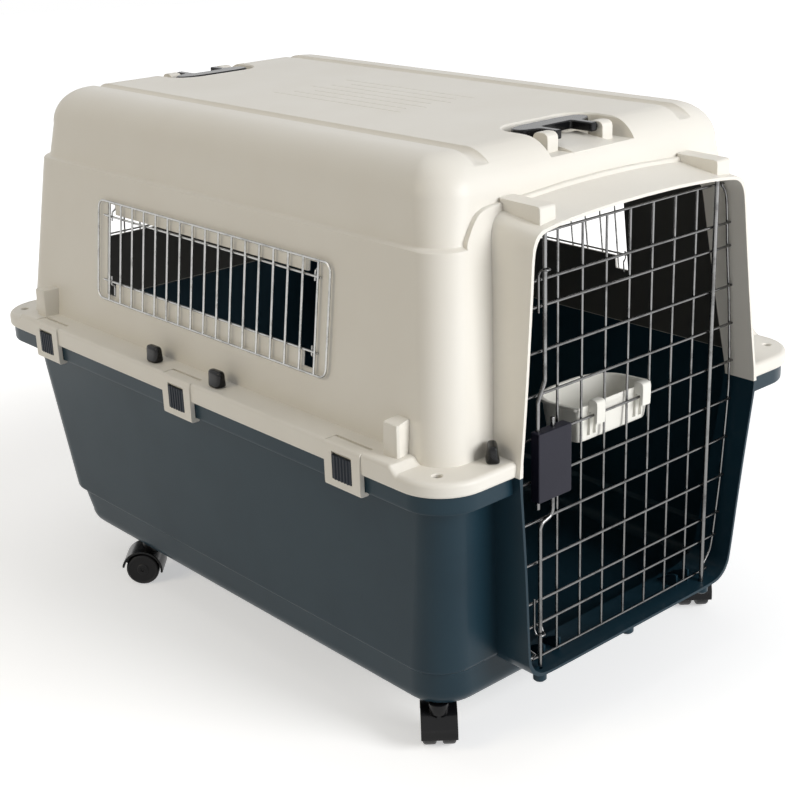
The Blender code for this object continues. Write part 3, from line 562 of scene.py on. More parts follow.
class Form:
    """Closed meshes under construction, in millimetres."""

    def __init__(self) -> None:
        """Starts empty."""
        self.mesh = bmesh.new()

    def loft(self, rings: Sequence[Ring], closed: bool = False) -> "Form":
        """Joins equal rings with quads, and caps the ends of an open row.

        Args:
            rings: rings of points, all of one length.
            closed: whether the last ring meets the first.

        Returns:
            The form.
        """
        rows = [[self.mesh.verts.new(p) for p in ring] for ring in rings]
        pairs = list(zip(rows, rows[1:]))
        if closed:
            pairs.append((rows[-1], rows[0]))
        for low, high in pairs:
            for i in range(len(low)):
                j = (i + 1) % len(low)
                self.mesh.faces.new((low[i], low[j], high[j], high[i]))
        if not closed:
            self.mesh.faces.new(rows[0][::-1])
            self.mesh.faces.new(rows[-1])
        return self

    def prism(self, outline: Sequence[Point], axis: Axis, low: float, high: float,
              edge: float = 0.0) -> "Form":
        """A straight prism.

        Args:
            outline: points on the two other axes, in order.
            axis: the prism's direction.
            low: one end.
            high: the other end.
            edge: size of a rounding at both ends, drawn in by scaling about the outline's middle.

        Returns:
            The form.
        """
        def put(p: Point, t: float) -> tuple[float, float, float]:
            """The outline's point at the distance t."""
            spot = [p[0], p[1]]
            spot.insert(axis.value, t)
            return tuple(spot)

        if not edge:
            return self.loft([[put(p, t) for p in outline] for t in (low, high)])
        flat = [Vector(p[:2]) for p in outline]
        middle = sum(flat, Vector((0.0, 0.0))) / len(flat)
        reach = max((p - middle).length for p in flat)
        rings = []
        for t, pull in ((low, edge), (low + edge * 0.35, edge * 0.3), (low + edge, 0.0), (high - edge, 0.0),
                        (high - edge * 0.35, edge * 0.3), (high, edge)):
            share = 1 - pull / reach
            rings.append([put(middle + (p - middle) * share, t) for p in flat])
        return self.loft(rings)

    def box(self, low: Point, high: Point) -> "Form":
        """A plain box, for cutting.

        Args:
            low: lowest corner.
            high: highest corner.

        Returns:
            The form.
        """
        flat = [(low[0], low[1]), (high[0], low[1]), (high[0], high[1]), (low[0], high[1])]
        return self.loft([at_z(flat, low[2]), at_z(flat, high[2])])

    def tube(self, path: Sequence[Point], radius: float, sides: int = 12, closed: bool = False,
             dome: bool = True) -> "Form":
        """A round wire along a path.

        Args:
            path: points along its middle.
            radius: the wire's radius.
            sides: facets round the wire.
            closed: whether the path is a loop.
            dome: whether open ends are rounded.

        Returns:
            The form.
        """
        points = [Vector(p) for p in path]
        count = len(points)
        normal: Optional[Vector] = None
        frames = []
        for i, here in enumerate(points):
            before = points[i - 1] if (i > 0 or closed) else here
            after = points[(i + 1) % count] if (i < count - 1 or closed) else here
            into = (here - before).normalized() if here != before else (after - here).normalized()
            out = (after - here).normalized() if here != after else into
            along = (into + out).normalized()
            if normal is None:
                guide = Vector((0, 0, 1)) if abs(along.z) < 0.9 else Vector((0, 1, 0))
                normal = (guide - along * guide.dot(along)).normalized()
            else:
                normal = (normal - along * normal.dot(along)).normalized()
            frames.append((here, along, normal.copy(), along.cross(normal)))
        rows = [(here, u, v, 1.0) for here, _, u, v in frames]
        if dome and not closed:
            caps = []
            for (here, along, u, v), sign in ((frames[0], 1), (frames[-1], -1)):
                caps.append([(here + along * (sign * radius * back), u, v, width)
                             for back, width in ((0.0, 0.55), (0.2, 0.85), (0.5, 1.0))])
            rows = caps[0] + rows[1:-1] + caps[1][::-1]
        rings = []
        for here, u, v, width in rows:
            rings.append([here + (u * math.cos(a) + v * math.sin(a)) * radius * width
                          for a in (2 * math.pi * k / sides for k in range(sides))])
        return self.loft(rings, closed)

    def turned(self, centre: Point, axis: Axis, stations: Sequence[tuple[float, float]], sides: int = 32,
               turn: float = 0.0) -> "Form":
        """A turned solid.

        Args:
            centre: a point on the axis.
            axis: the axis.
            stations: distance along the axis and radius.
            sides: facets round it.
            turn: start angle in radians.

        Returns:
            The form.
        """
        basis = [Vector((1, 0, 0)), Vector((0, 1, 0)), Vector((0, 0, 1))]
        along, u, v = (basis[(axis.value + k) % 3] for k in range(3))
        rings = []
        for t, r in stations:
            rings.append([Vector(centre) + along * t + (u * math.cos(a) + v * math.sin(a)) * r
                          for a in (2 * math.pi * k / sides + turn for k in range(sides))])
        return self.loft(rings)

    def moved(self, matrix: Matrix) -> "Form":
        """The form after a transform."""
        self.mesh.transform(matrix)
        return self


class Body:
    """One shown piece while it is shaped and dressed."""

    def __init__(self, name: str, form: Form) -> None:
        """Makes the object.

        Args:
            name: the piece's name.
            form: its first form.
        """
        self.name = name
        self.object = self._object(name, form)

    @staticmethod
    def _object(name: str, form: Form) -> bpy.types.Object:
        """An object from a form, in metres.

        Args:
            name: the object's name.
            form: the form, which is used up.

        Returns:
            The object.
        """
        bm = form.mesh
        bmesh.ops.remove_doubles(bm, verts=bm.verts, dist=0.0005)
        bmesh.ops.recalc_face_normals(bm, faces=bm.faces)
        bm.transform(Matrix.Scale(MM, 4))
        mesh = bpy.data.meshes.new(name)
        bm.to_mesh(mesh)
        bm.free()
        made = bpy.data.objects.new(name, mesh)
        bpy.context.scene.collection.objects.link(made)
        return made

    def bake(self) -> "Body":
        """Applies the modifiers.

        Returns:
            The body.
        """
        graph = bpy.context.evaluated_depsgraph_get()
        made = bpy.data.meshes.new_from_object(self.object.evaluated_get(graph))
        old = self.object.data
        self.object.modifiers.clear()
        self.object.data = made
        made.name = self.name
        bpy.data.meshes.remove(old)
        return self

    def join(self, how: Join, tools: Sequence[Union[Form, "Body"]]) -> "Body":
        """Adds or cuts tools, one after the other.

        Args:
            how: union or difference.
            tools: forms or bodies, which are used up.

        Returns:
            The body.
        """
        for tool in tools:
            other = tool.object if isinstance(tool, Body) else self._object("tool", tool)
            step = self.object.modifiers.new("step", "BOOLEAN")
            step.operation, step.solver, step.object = how.value, "EXACT", other
            self.bake()
            mesh = other.data
            bpy.data.objects.remove(other)
            bpy.data.meshes.remove(mesh)
        return self

    def add(self, *tools: Union[Form, "Body"]) -> "Body":
        """Unites the tools with the body."""
        return self.join(Join.ADD, tools)

    def cut(self, *tools: Union[Form, "Body"]) -> "Body":
        """Cuts the tools out of the body."""
        return self.join(Join.CUT, tools)

    def round_edges(self, width: float, segments: int = 2, angle: float = 35.0) -> "Body":
        """Rounds the sharp edges.

        Args:
            width: the rounding's width in millimetres.
            segments: facets across it.
            angle: edges above this angle in degrees are rounded.

        Returns:
            The body.
        """
        made = self.object.modifiers.new("edge_rounding", "BEVEL")
        made.width, made.segments, made.limit_method = width * MM, segments, "ANGLE"
        made.angle_limit = math.radians(angle)
        return self.bake()

    def dress(self, finish: str, body: str, crease: float, *replaces: str) -> None:
        """Shades the piece, paints it and hangs it on its rigid body.

        Args:
            finish: the palette's field.
            body: the rigid body that it moves with.
            crease: angle in degrees above which an edge stays crisp.
            *replaces: the solids that it stands for.
        """
        mesh = self.object.data
        mesh.polygons.foreach_set("use_smooth", [True] * len(mesh.polygons))
        mesh.set_sharp_from_angle(angle=math.radians(crease))
        even = self.object.modifiers.new("even_normals", "WEIGHTED_NORMAL")
        even.keep_sharp, even.weight = True, 60
        mesh.materials.clear()
        mesh.materials.append(PAINT.material(finish))
        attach(self.object, body)
        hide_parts(*replaces)
        LOG.info("%s: %d faces on %s", self.name, len(mesh.polygons), body)


# Shared sizes


@dataclass(frozen=True)
class WallStation:
    """One level of a shell's wall."""

    z: float
    half: float
    front: float
    rear: float
    corner: float

    def ring(self, inset: float = 0.0, pull: float = 0.0, lift: float = 0.0) -> list[Point]:
        """The wall's outline at this level.

        Args:
            inset: distance inwards for the inner face.
            pull: further distance inwards, over a rounded edge.
            lift: change of height.

        Returns:
            Points, anticlockwise.
        """
        d = inset + pull
        r = max(self.corner - inset - pull * 0.6, 6.0)
        return at_z(rounded(-self.half + d, self.half - d, self.front + d, self.rear - d, r), self.z + lift)


@dataclass(frozen=True)
class Crate:
    """Sizes that several pieces share."""

    gap: float = 0.3
    skin: float = 3.6
    floor_to_shell: float = 66.2
    part_z: float = 385.8
    part_gap: float = 0.15
    flange_top: float = 403.7
    wall_foot: WallStation = WallStation(385.95, 300.0, -459.5, 475.5, 40.0)
    ledge_z: float = 638.4
    roof_z: float = 734.9
    flange_x: float = 336.3
    flange_front: float = -495.6
    flange_rear: float = 501.8
    flange_r: float = 62.0
    rim_bottom: float = 363.2
    hood_part_y: float = -501.8
    hood_top_y: float = -493.0
    hood_bottom_y: float = -489.8
    hood_bottom_z: float = 106.4
    hood_crown_z: float = 660.0
    hood_knee_z: float = 140.0
    hood_climb: float = 270.0
    hood_upper: tuple = ((220.6, 385.8), (208.2, 476.9), (195.4, 587.9), (191.5, 626.0), (187.5, 646.0),
                         (178.0, 657.5), (161.0, 661.8), (118.0, 666.0), (60.0, 668.8), (0.0, 669.6))
    hood_lower: tuple = ((60.0, 106.4), (120.0, 106.4), (165.0, 107.4), (182.0, 113.0), (192.0, 125.0),
                         (196.5, 145.0), (203.6, 225.6), (210.3, 294.0), (220.6, 385.8))
    window_z: tuple = (487.3, 583.7)
    side_window_y: tuple = (-229.8, 238.1)
    rear_window_x: float = 170.0
    run_top: float = 412.5
    run_y: tuple = (-412.0, 420.0)
    clip_y: tuple = (-333.0, 5.0, 343.0)
    clip_half: float = 32.0
    clip_axis: tuple = (323.5, 406.7)
    pin_r: float = 2.0
    side_knob_x: float = 317.5
    side_knob_y: tuple = (-62.0, 82.0)
    front_knob: tuple = (234.0, -473.0)
    tie_x: float = 304.4
    tie_y: tuple = (-457.5, 465.8)
    tie_hole_r: float = 5.5
    bolt_hole_r: float = 3.5
    rod_hole_r: float = 3.5
    hinge_x: float = 153.5
    hinge_y: float = -476.6
    hinge_r: float = 3.0
    rod_x: float = -155.0
    rod_y: float = -478.4
    rod_r: float = 2.6
    row_y: float = -472.5
    column_y: float = -469.5
    wire_r: float = 1.65
    lower_rod_x: float = -163.0
    handle_axis: tuple = (-380.0, 729.0)
    roof_middle_y: float = 7.5

    def flange_ring(self, z: float, inset: float = 0.0) -> list[Point]:
        """The flange's outline at a height.

        Args:
            z: the height.
            inset: distance inwards.

        Returns:
            Points, anticlockwise.
        """
        r = max(self.flange_r - inset, 4.0)
        flat = rounded(-self.flange_x + inset, self.flange_x - inset, self.flange_front + inset,
                       self.flange_rear - inset, r, 14)
        return at_z(flat, z)

    def wall_ring(self, z: float, grow: float) -> list[Point]:
        """The outline just outside the walls at the parting line.

        Args:
            z: the height.
            grow: distance outwards.

        Returns:
            Points, anticlockwise.
        """
        foot = self.wall_foot
        half = foot.half + grow
        return at_z(rounded(-half, half, foot.front - grow, foot.rear + grow, foot.corner + grow, 14), z)

    def columns(self, form: Form, sign: int, ties: Sequence[Point], knobs: Sequence[Point] = (),
                front: Sequence[Point] = (), tie_sides: int = 28) -> None:
        """Adds upright columns on the axes of one side's tie holes and knobs.

        Args:
            form: where they are added.
            sign: -1 for the left side, 1 for the right.
            ties: heights and radii at the tie holes.
            knobs: heights and radii at the knobs, if they get columns.
            front: heights and radii at the front knob, where they differ.
            tie_sides: facets round a column at a tie hole.
        """
        for y in self.tie_y:
            form.turned((sign * self.tie_x, y, 0), Axis.Z, ties, tie_sides)
        if knobs:
            for y in self.side_knob_y:
                form.turned((sign * self.side_knob_x, y, 0), Axis.Z, knobs, 20)
            x, y = self.front_knob
            form.turned((sign * x, y, 0), Axis.Z, front or knobs, 20)

    def rim_y(self, z: float) -> float:
        """Where the hood's rim stands.

        Args:
            z: the height.

        Returns:
            The rim's place along Y.
        """
        if z >= self.part_z:
            share, end = (z - self.part_z) / (self.hood_crown_z - self.part_z), self.hood_top_y
        else:
            share, end = (self.part_z - z) / (self.part_z - self.hood_bottom_z), self.hood_bottom_y
        return self.hood_part_y + (end - self.hood_part_y) * share

    def hood(self, upper: bool, rise: float, shift: float = 0.0, front: float = 0.0, back: float = -405.0,
             over: float = 0.0) -> Form:
        """The hood's solid from its rim to the front wall.

        Args:
            upper: whether it is the upper half.
            rise: how far the top climbs towards the wall.
            shift: distance inwards.
            front: distance from the rim at which it starts.
            back: where it ends.
            over: how far a cutter passes the parting line.

        Returns:
            The form.
        """
        half = smooth([(x, z, 0.0) for x, z in (self.hood_upper if upper else self.hood_lower)], 4)
        rim, root = [], []
        for x, z in mirrored(half):
            across = x - (0.0 if abs(x) < 1e-6 else math.copysign(shift, x))
            if upper and z < self.part_z + 1:
                low = high = z - over
            elif upper:
                low = z - shift
                high = low + rise * min(1.0, (z - self.part_z) / self.hood_climb)
            else:
                low = z + shift if z < self.hood_knee_z else z
                low = high = low + (over if z > self.part_z - 1 else 0.0)
            rim.append((across, self.rim_y(low) + front, low))
            root.append((across, back, high))
        return Form().loft([rim, root])

    def roof_place(self, end: End, y: float) -> float:
        """A place on the roof's front half, or its mirror image on the rear half."""
        return y if end is End.FRONT else -y + 2 * self.roof_middle_y


SIZES = Crate()


@dataclass
class UpperShell:
    """Roof, walls, hood, flange with its side runs, handle lugs and stacking posts."""

    sizes: Crate = SIZES
    groove_x: float = 178.0
    groove_face: tuple = (7.0, 13.0)
    groove_back: tuple = (12.0, 22.0)
    groove_fades: tuple = ((42, -0.12), (45, 0.10), (48, 0.35), (52, 0.62), (57, 0.85), (62, 0.96),
                           (68, 1.0), (75, 1.0), (82, 1.0), (90, 1.0))
    groove_profile: tuple = ((-1.0, -3.0), (-0.72, 0.35), (-0.42, 0.85), (-0.12, 1.0), (0.12, 1.0),
                             (0.42, 0.85), (0.72, 0.35), (1.0, -3.0))
    pocket_levels: tuple = ((73.0, -317.0, 34.0, 712.0), (74.4, -315.5, 35.0, 726.0),
                            (75.4, -314.6, 36.0, 733.0), (78.5, -311.5, 39.0, 736.2),
                            (84.0, -306.0, 42.0, 760.0))
    pocket_edge_y: float = -450.0
    island_half: float = 36.0
    island_outline: tuple = ((-413.0, 704.0), (-352.0, 704.0), (-351.0, 718.0), (-353.0, 720.0),
                             (-398.0, 715.5), (-413.0, 712.0))
    lug_x: tuple = (39.0, 57.0)
    lug_outline: tuple = ((-392.0, 700.0), (-368.0, 700.0), (-368.0, 727.5), (-368.8, 730.5),
                          (-371.0, 732.9), (-374.0, 734.2), (-377.5, 734.6), (-384.5, 734.6),
                          (-388.0, 733.7), (-390.8, 731.4), (-392.0, 728.0))
    pin_hole: tuple = (52.0, 3.6)
    brow_arch: tuple = ((227.5, 638.0), (225.5, 646.0), (220.0, 655.0), (213.0, 665.0), (204.0, 673.0),
                        (190.0, 677.6), (165.0, 679.2), (118.0, 681.0), (60.0, 684.0), (0.0, 685.0))
    brow_foot_z: float = 600.0
    brow_slope: float = 0.1086
    brow_edge: tuple = ((0.0, 2.6), (0.5, 0.9), (2.0, 0.0), (30.0, 0.0))
    run_root: tuple = (285.0, 395.0)
    run_edge: float = 5.0
    run_ramp: tuple = ((14.0, 9.6), (10.0, 8.6), (5.0, 4.6), (1.5, 0.9), (-2.0, 0.0))
    post_plan: tuple = ((285.0, -379.0), (312.5, -381.0), (316.6, -382.2), (318.0, -385.5),
                        (318.0, -403.0), (317.0, -406.2), (314.0, -407.5), (285.0, -399.5))
    post_levels: tuple = ((402.0, 0.0), (448.5, 0.9), (450.8, 1.5), (451.5, 3.0))
    block_x: tuple = (143.0, 168.0)
    block_outline: tuple = ((-484.0, 655.0), (-422.0, 655.0), (-422.0, 684.0), (-479.0, 682.7),
                            (-482.0, 682.0), (-483.6, 680.4), (-484.0, 678.0))
    notch_z: tuple = (468.0, 597.0)
    notch_width: tuple = (23.0, 20.0)
    recess_outline: tuple = ((316.8, 399.8), (331.5, 399.8), (331.5, 375.0), (350.0, 375.0),
                             (350.0, 420.0), (316.8, 420.0))
    stations: tuple = (
        SIZES.wall_foot,
        WallStation(635.4, 268.7, -432.4, 447.9, 42.0),
        WallStation(637.2, 268.2, -431.9, 447.4, 42.0),
        WallStation(638.4, 266.9, -430.6, 446.1, 42.0),
        WallStation(639.0, 265.0, -428.7, 444.2, 42.0),
        WallStation(639.6, 263.2, -426.9, 442.4, 42.0),
        WallStation(640.9, 261.9, -425.5, 441.0, 42.0),
        WallStation(643.4, 261.2, -424.7, 440.2, 42.0),
        WallStation(685.0, 255.8, -420.0, 435.0, 48.0),
    )

    def walls(self, inset: float = 0.0, steps: int = 12) -> list[list[Point]]:
        """Rings of the wall and the rounded edge of the roof.

        Args:
            inset: distance inwards for the inner face.
            steps: facets of the roof's edge.

        Returns:
            The rings from the parting line to the roof.
        """
        rings = [station.ring(inset) for station in self.stations]
        top = self.stations[-1]
        radius = self.sizes.roof_z - top.z
        for k in range(1, steps + 1):
            angle = math.radians(90 * k / steps)
            pull = (radius - inset) * (1 - math.cos(angle))
            lift = (radius - inset) * math.sin(angle)
            rings.append(top.ring(inset, pull, lift))
        return rings

    def groove(self, x: float, depth: float, width: float) -> Form:
        """A long groove over the roof and down both rounded ends.

        Args:
            x: its place across the roof.
            depth: depth in the roof.
            width: half width at the surface.

        Returns:
            The cutter.
        """
        top = self.stations[-1]
        radius = self.sizes.roof_z - top.z
        fades = self.groove_fades
        rings = []
        for start, sign, row in ((top.front, 1, fades), (top.rear, -1, fades[::-1])):
            for degrees, fade in row:
                a = math.radians(degrees)
                y, z = start + sign * radius * (1 - math.cos(a)), top.z + radius * math.sin(a)
                ring = []
                for share, drop in self.groove_profile:
                    down = depth * drop * fade if drop > 0 else drop
                    ring.append((x + width * share * (1.25 - 0.25 * fade), y + sign * math.cos(a) * down,
                                 z - math.sin(a) * down))
                rings.append(ring)
        return Form().loft(rings)

    def pocket(self, end: End, grow: float = 0.0) -> Form:
        """The cutter of a handle pocket.

        Args:
            end: which end of the roof.
            grow: distance outwards for the pocket's back.

        Returns:
            The cutter.
        """
        place = self.sizes.roof_place
        rings = []
        for index, (half, depth, r, z) in enumerate(self.pocket_levels):
            flat = rounded(-half - grow, half + grow, self.pocket_edge_y, depth + grow, r + grow, 12)
            rings.append(at_z([(x, place(end, y)) for x, y in flat], z if index else z - grow))
        return Form().loft(rings)

    def island(self, end: End) -> Form:
        """The floor between the lugs, sloping down to the roof's edge."""
        outline = [(self.sizes.roof_place(end, y), z) for y, z in self.island_outline]
        return Form().prism(outline, Axis.X, -self.island_half, self.island_half)

    def lug(self, end: End, side: Side) -> Form:
        """One handle lug with a rounded top.

        Args:
            end: which end of the roof.
            side: which side of the handle.

        Returns:
            The form.
        """
        outline = [(self.sizes.roof_place(end, y), z) for y, z in self.lug_outline]
        x0, x1 = sorted(side.value * x for x in self.lug_x)
        return Form().prism(outline, Axis.X, x0, x1, 1.4)

    def brow(self) -> Form:
        """The proud band of the front wall that arches over the hood.

        Returns:
            The form.
        """
        wall, half, foot = self.stations[1], self.brow_arch[0][0], self.brow_foot_z
        outline = mirrored(smooth([(x, z, 0) for x, z in self.brow_arch], 3)) + [(-half, foot), (half, foot)]
        rings = []
        for lift, pull in self.brow_edge:
            rings.append([(x, wall.front + self.brow_slope * (z - wall.z) + lift,
                           z - (pull if z > foot else 0.0)) for x, z in outline])
        return Form().loft(rings)

    def side_run(self, side: Side) -> Form:
        """The raised run of the flange along one side.

        Args:
            side: which side.

        Returns:
            The form.
        """
        (inner, foot), r = self.run_root, self.run_edge
        outer, top = self.sizes.flange_x, self.sizes.run_top
        profile = [(inner, foot), (outer, foot)]
        for k in range(7):
            a = math.radians(90 * k / 6)
            profile.append((outer - r + r * math.cos(a), top - r + r * math.sin(a)))
        profile.append((inner, top))
        low, high = self.sizes.run_y
        levels = [(low - out, drop) for out, drop in self.run_ramp]
        levels += [(high + out, drop) for out, drop in reversed(self.run_ramp)]
        rings = []
        for y, drop in levels:
            rings.append([(side.value * x, y, z - drop if z > foot else z) for x, z in profile])
        return Form().loft(rings)

    def post(self, side: Side, end: End) -> Form:
        """A stacking post on the run, slanted back to the wall.

        Args:
            side: which side.
            end: which end of the run.

        Returns:
            The form.
        """
        rings = []
        for z, pull in self.post_levels:
            ring = []
            for x, y in self.post_plan:
                px = x - pull if x > 300 else x
                py = y + (pull if y < -394 else -pull) * 0.6
                ring.append((side.value * px, py if end is End.FRONT else -5.0 - py, z))
            rings.append(ring)
        return Form().loft(rings)

    def rod_block(self, side: Side) -> Form:
        """The block on the hood that takes a door rod."""
        x0, x1 = sorted(side.value * x for x in self.block_x)
        return Form().prism(self.block_outline, Axis.X, x0, x1, 1.6)

    def window(self, low: float, high: float) -> list[Point]:
        """A window opening with a notch for a grille hook at each corner.

        Args:
            low: one end of the opening.
            high: its other end.

        Returns:
            Points round the opening.
        """
        z0, z1 = self.sizes.window_z
        n0, n1 = self.notch_z
        a, b = self.notch_width
        return [(low, n0), (low + a, n0), (low + a, z0), (high - a, z0), (high - a, n0), (high, n0),
                (high, n1), (high - b, n1), (high - b, z1), (low + b, z1), (low + b, n1), (low, n1)]

    def channel(self) -> Body:
        """The hollow under the flange, kept clear of the clips, knobs and tie holes.

        Returns:
            The cutter.
        """
        size = self.sizes
        low, top = size.part_z + size.part_gap, size.flange_top
        hollow = Body("channel", Form().loft([
            size.flange_ring(low - 5, 5.5), size.flange_ring(top - 5.5, 7.5), size.wall_ring(top - 5.5, 4.5),
            size.wall_ring(low - 5, 4.5)], True))
        z0, z1 = low - 20, top + 20
        keep = Form()
        for sign in (-1, 1):
            size.columns(keep, sign, ((z0, 13.0), (z1, 13.0)), ((z0, 9.0), (z1, 9.0)),
                         ((z0, 10.0), (z1, 10.0)), 20)
            x0, x1 = sorted((sign * 312.5, sign * 345.0))
            for y in size.clip_y:
                keep.box((x0, y - 41.0, z0), (x1, y + 41.0, z1))
        return hollow.cut(keep, Form().box((-226.0, -520.0, z0), (226.0, -440.0, z1)))

    def fittings(self) -> tuple[Form, Form, Form]:
        """The clip recesses, the pin bores and the round holes.

        Returns:
            The three cutters.
        """
        size = self.sizes
        tie_r, bolt_r, rod_r = size.tie_hole_r, size.bolt_hole_r, size.rod_hole_r
        half, bore_r = size.clip_half + 0.6, size.pin_r + 0.3
        recess, bores, holes = Form(), Form(), Form()
        for sign in (-1, 1):
            outline = [(sign * x, z) for x, z in self.recess_outline]
            axis = (sign * size.clip_axis[0], 0, size.clip_axis[1])
            for y in size.clip_y:
                recess.prism(outline, Axis.Y, y - half, y + half)
                bores.turned(axis, Axis.Y, ((y - 37.2, bore_r), (y + 37.2, bore_r)), 16, 0.2)
            size.columns(holes, sign, ((350, tie_r), (402.4, tie_r), (404.0, 7.2), (430, 7.2)),
                         ((365, bolt_r), (425, bolt_r)))
        for x, y in ((size.hinge_x, size.hinge_y), (size.rod_x, size.rod_y)):
            holes.turned((x, y, 0), Axis.Z, ((640.0, rod_r), (678.0, rod_r)), 20)
        return recess, bores, holes

    def lines(self) -> Form:
        """The shallow lines in the middle of the roof.

        Returns:
            The cutter.
        """
        form = Form()
        top = self.sizes.roof_z
        for k in range(7):
            x = -66.0 + 22.0 * k
            y0, y1 = (-150.0 + 14.0 * (k % 2), 120.0 - 18.0 * (k % 3))
            rings = []
            for y, deep in ((y0, -0.4), (y0 + 4, 0.5), (y1 - 4, 0.5), (y1, -0.4)):
                rings.append([(x - 0.7, y, top - deep), (x + 0.7, y, top - deep), (x + 1.2, y, top + 2.0),
                              (x - 1.2, y, top + 2.0)])
            form.loft(rings)
        return form

    def build(self) -> None:
        """Shapes and dresses the shell."""
        size = self.sizes
        low, top = size.part_z + size.part_gap, size.flange_top
        shell = Body("shell_upper", Form().loft(self.walls()))
        shell.cut(*(self.groove(sign * self.groove_x, *self.groove_face) for sign in (-1, 1)))
        flange = [size.flange_ring(low, 1.5), size.flange_ring(low + 1.5, 0.3), size.flange_ring(low + 3, 0)]
        for k in range(7):
            a = math.radians(90 * k / 6)
            flange.append(size.flange_ring(top - 6.0 + 6.0 * math.sin(a), 6.5 * (1 - math.cos(a))))
        shell.add(Form().loft(flange), *(self.side_run(side) for side in Side), size.hood(True, 14.0),
                  self.brow())
        for side in Side:
            shell.add(self.rod_block(side), *(self.post(side, end) for end in End))
        foot = [(x, y, z - 30) for x, y, z in self.stations[0].ring(size.skin)]
        inside = Body("upper_inside", Form().loft([foot, *self.walls(size.skin)]))
        inside.cut(*(self.groove(sign * self.groove_x, *self.groove_back) for sign in (-1, 1)))
        inside.cut(*(self.pocket(end, size.skin) for end in End))
        shell.cut(inside)
        reach, r = self.pin_hole
        for end in End:
            shell.cut(self.pocket(end)).add(self.island(end), *(self.lug(end, side) for side in Side))
            y = size.roof_place(end, size.handle_axis[0])
            shell.cut(Form().turned((0, y, size.handle_axis[1]), Axis.X, ((-reach, r), (reach, r)), 24))
        shell.cut(size.hood(True, 0.0, size.skin, -30.0, -395.0, 30.0), self.channel(), *self.fittings())
        shell.cut(Form().prism(self.window(*size.side_window_y), Axis.X, -320.0, 320.0),
                  Form().prism(self.window(-size.rear_window_x, size.rear_window_x), Axis.Y, 380.0, 520.0),
                  self.lines())
        shell.dress("ivory", "crate", 30.0, "upper_shell")


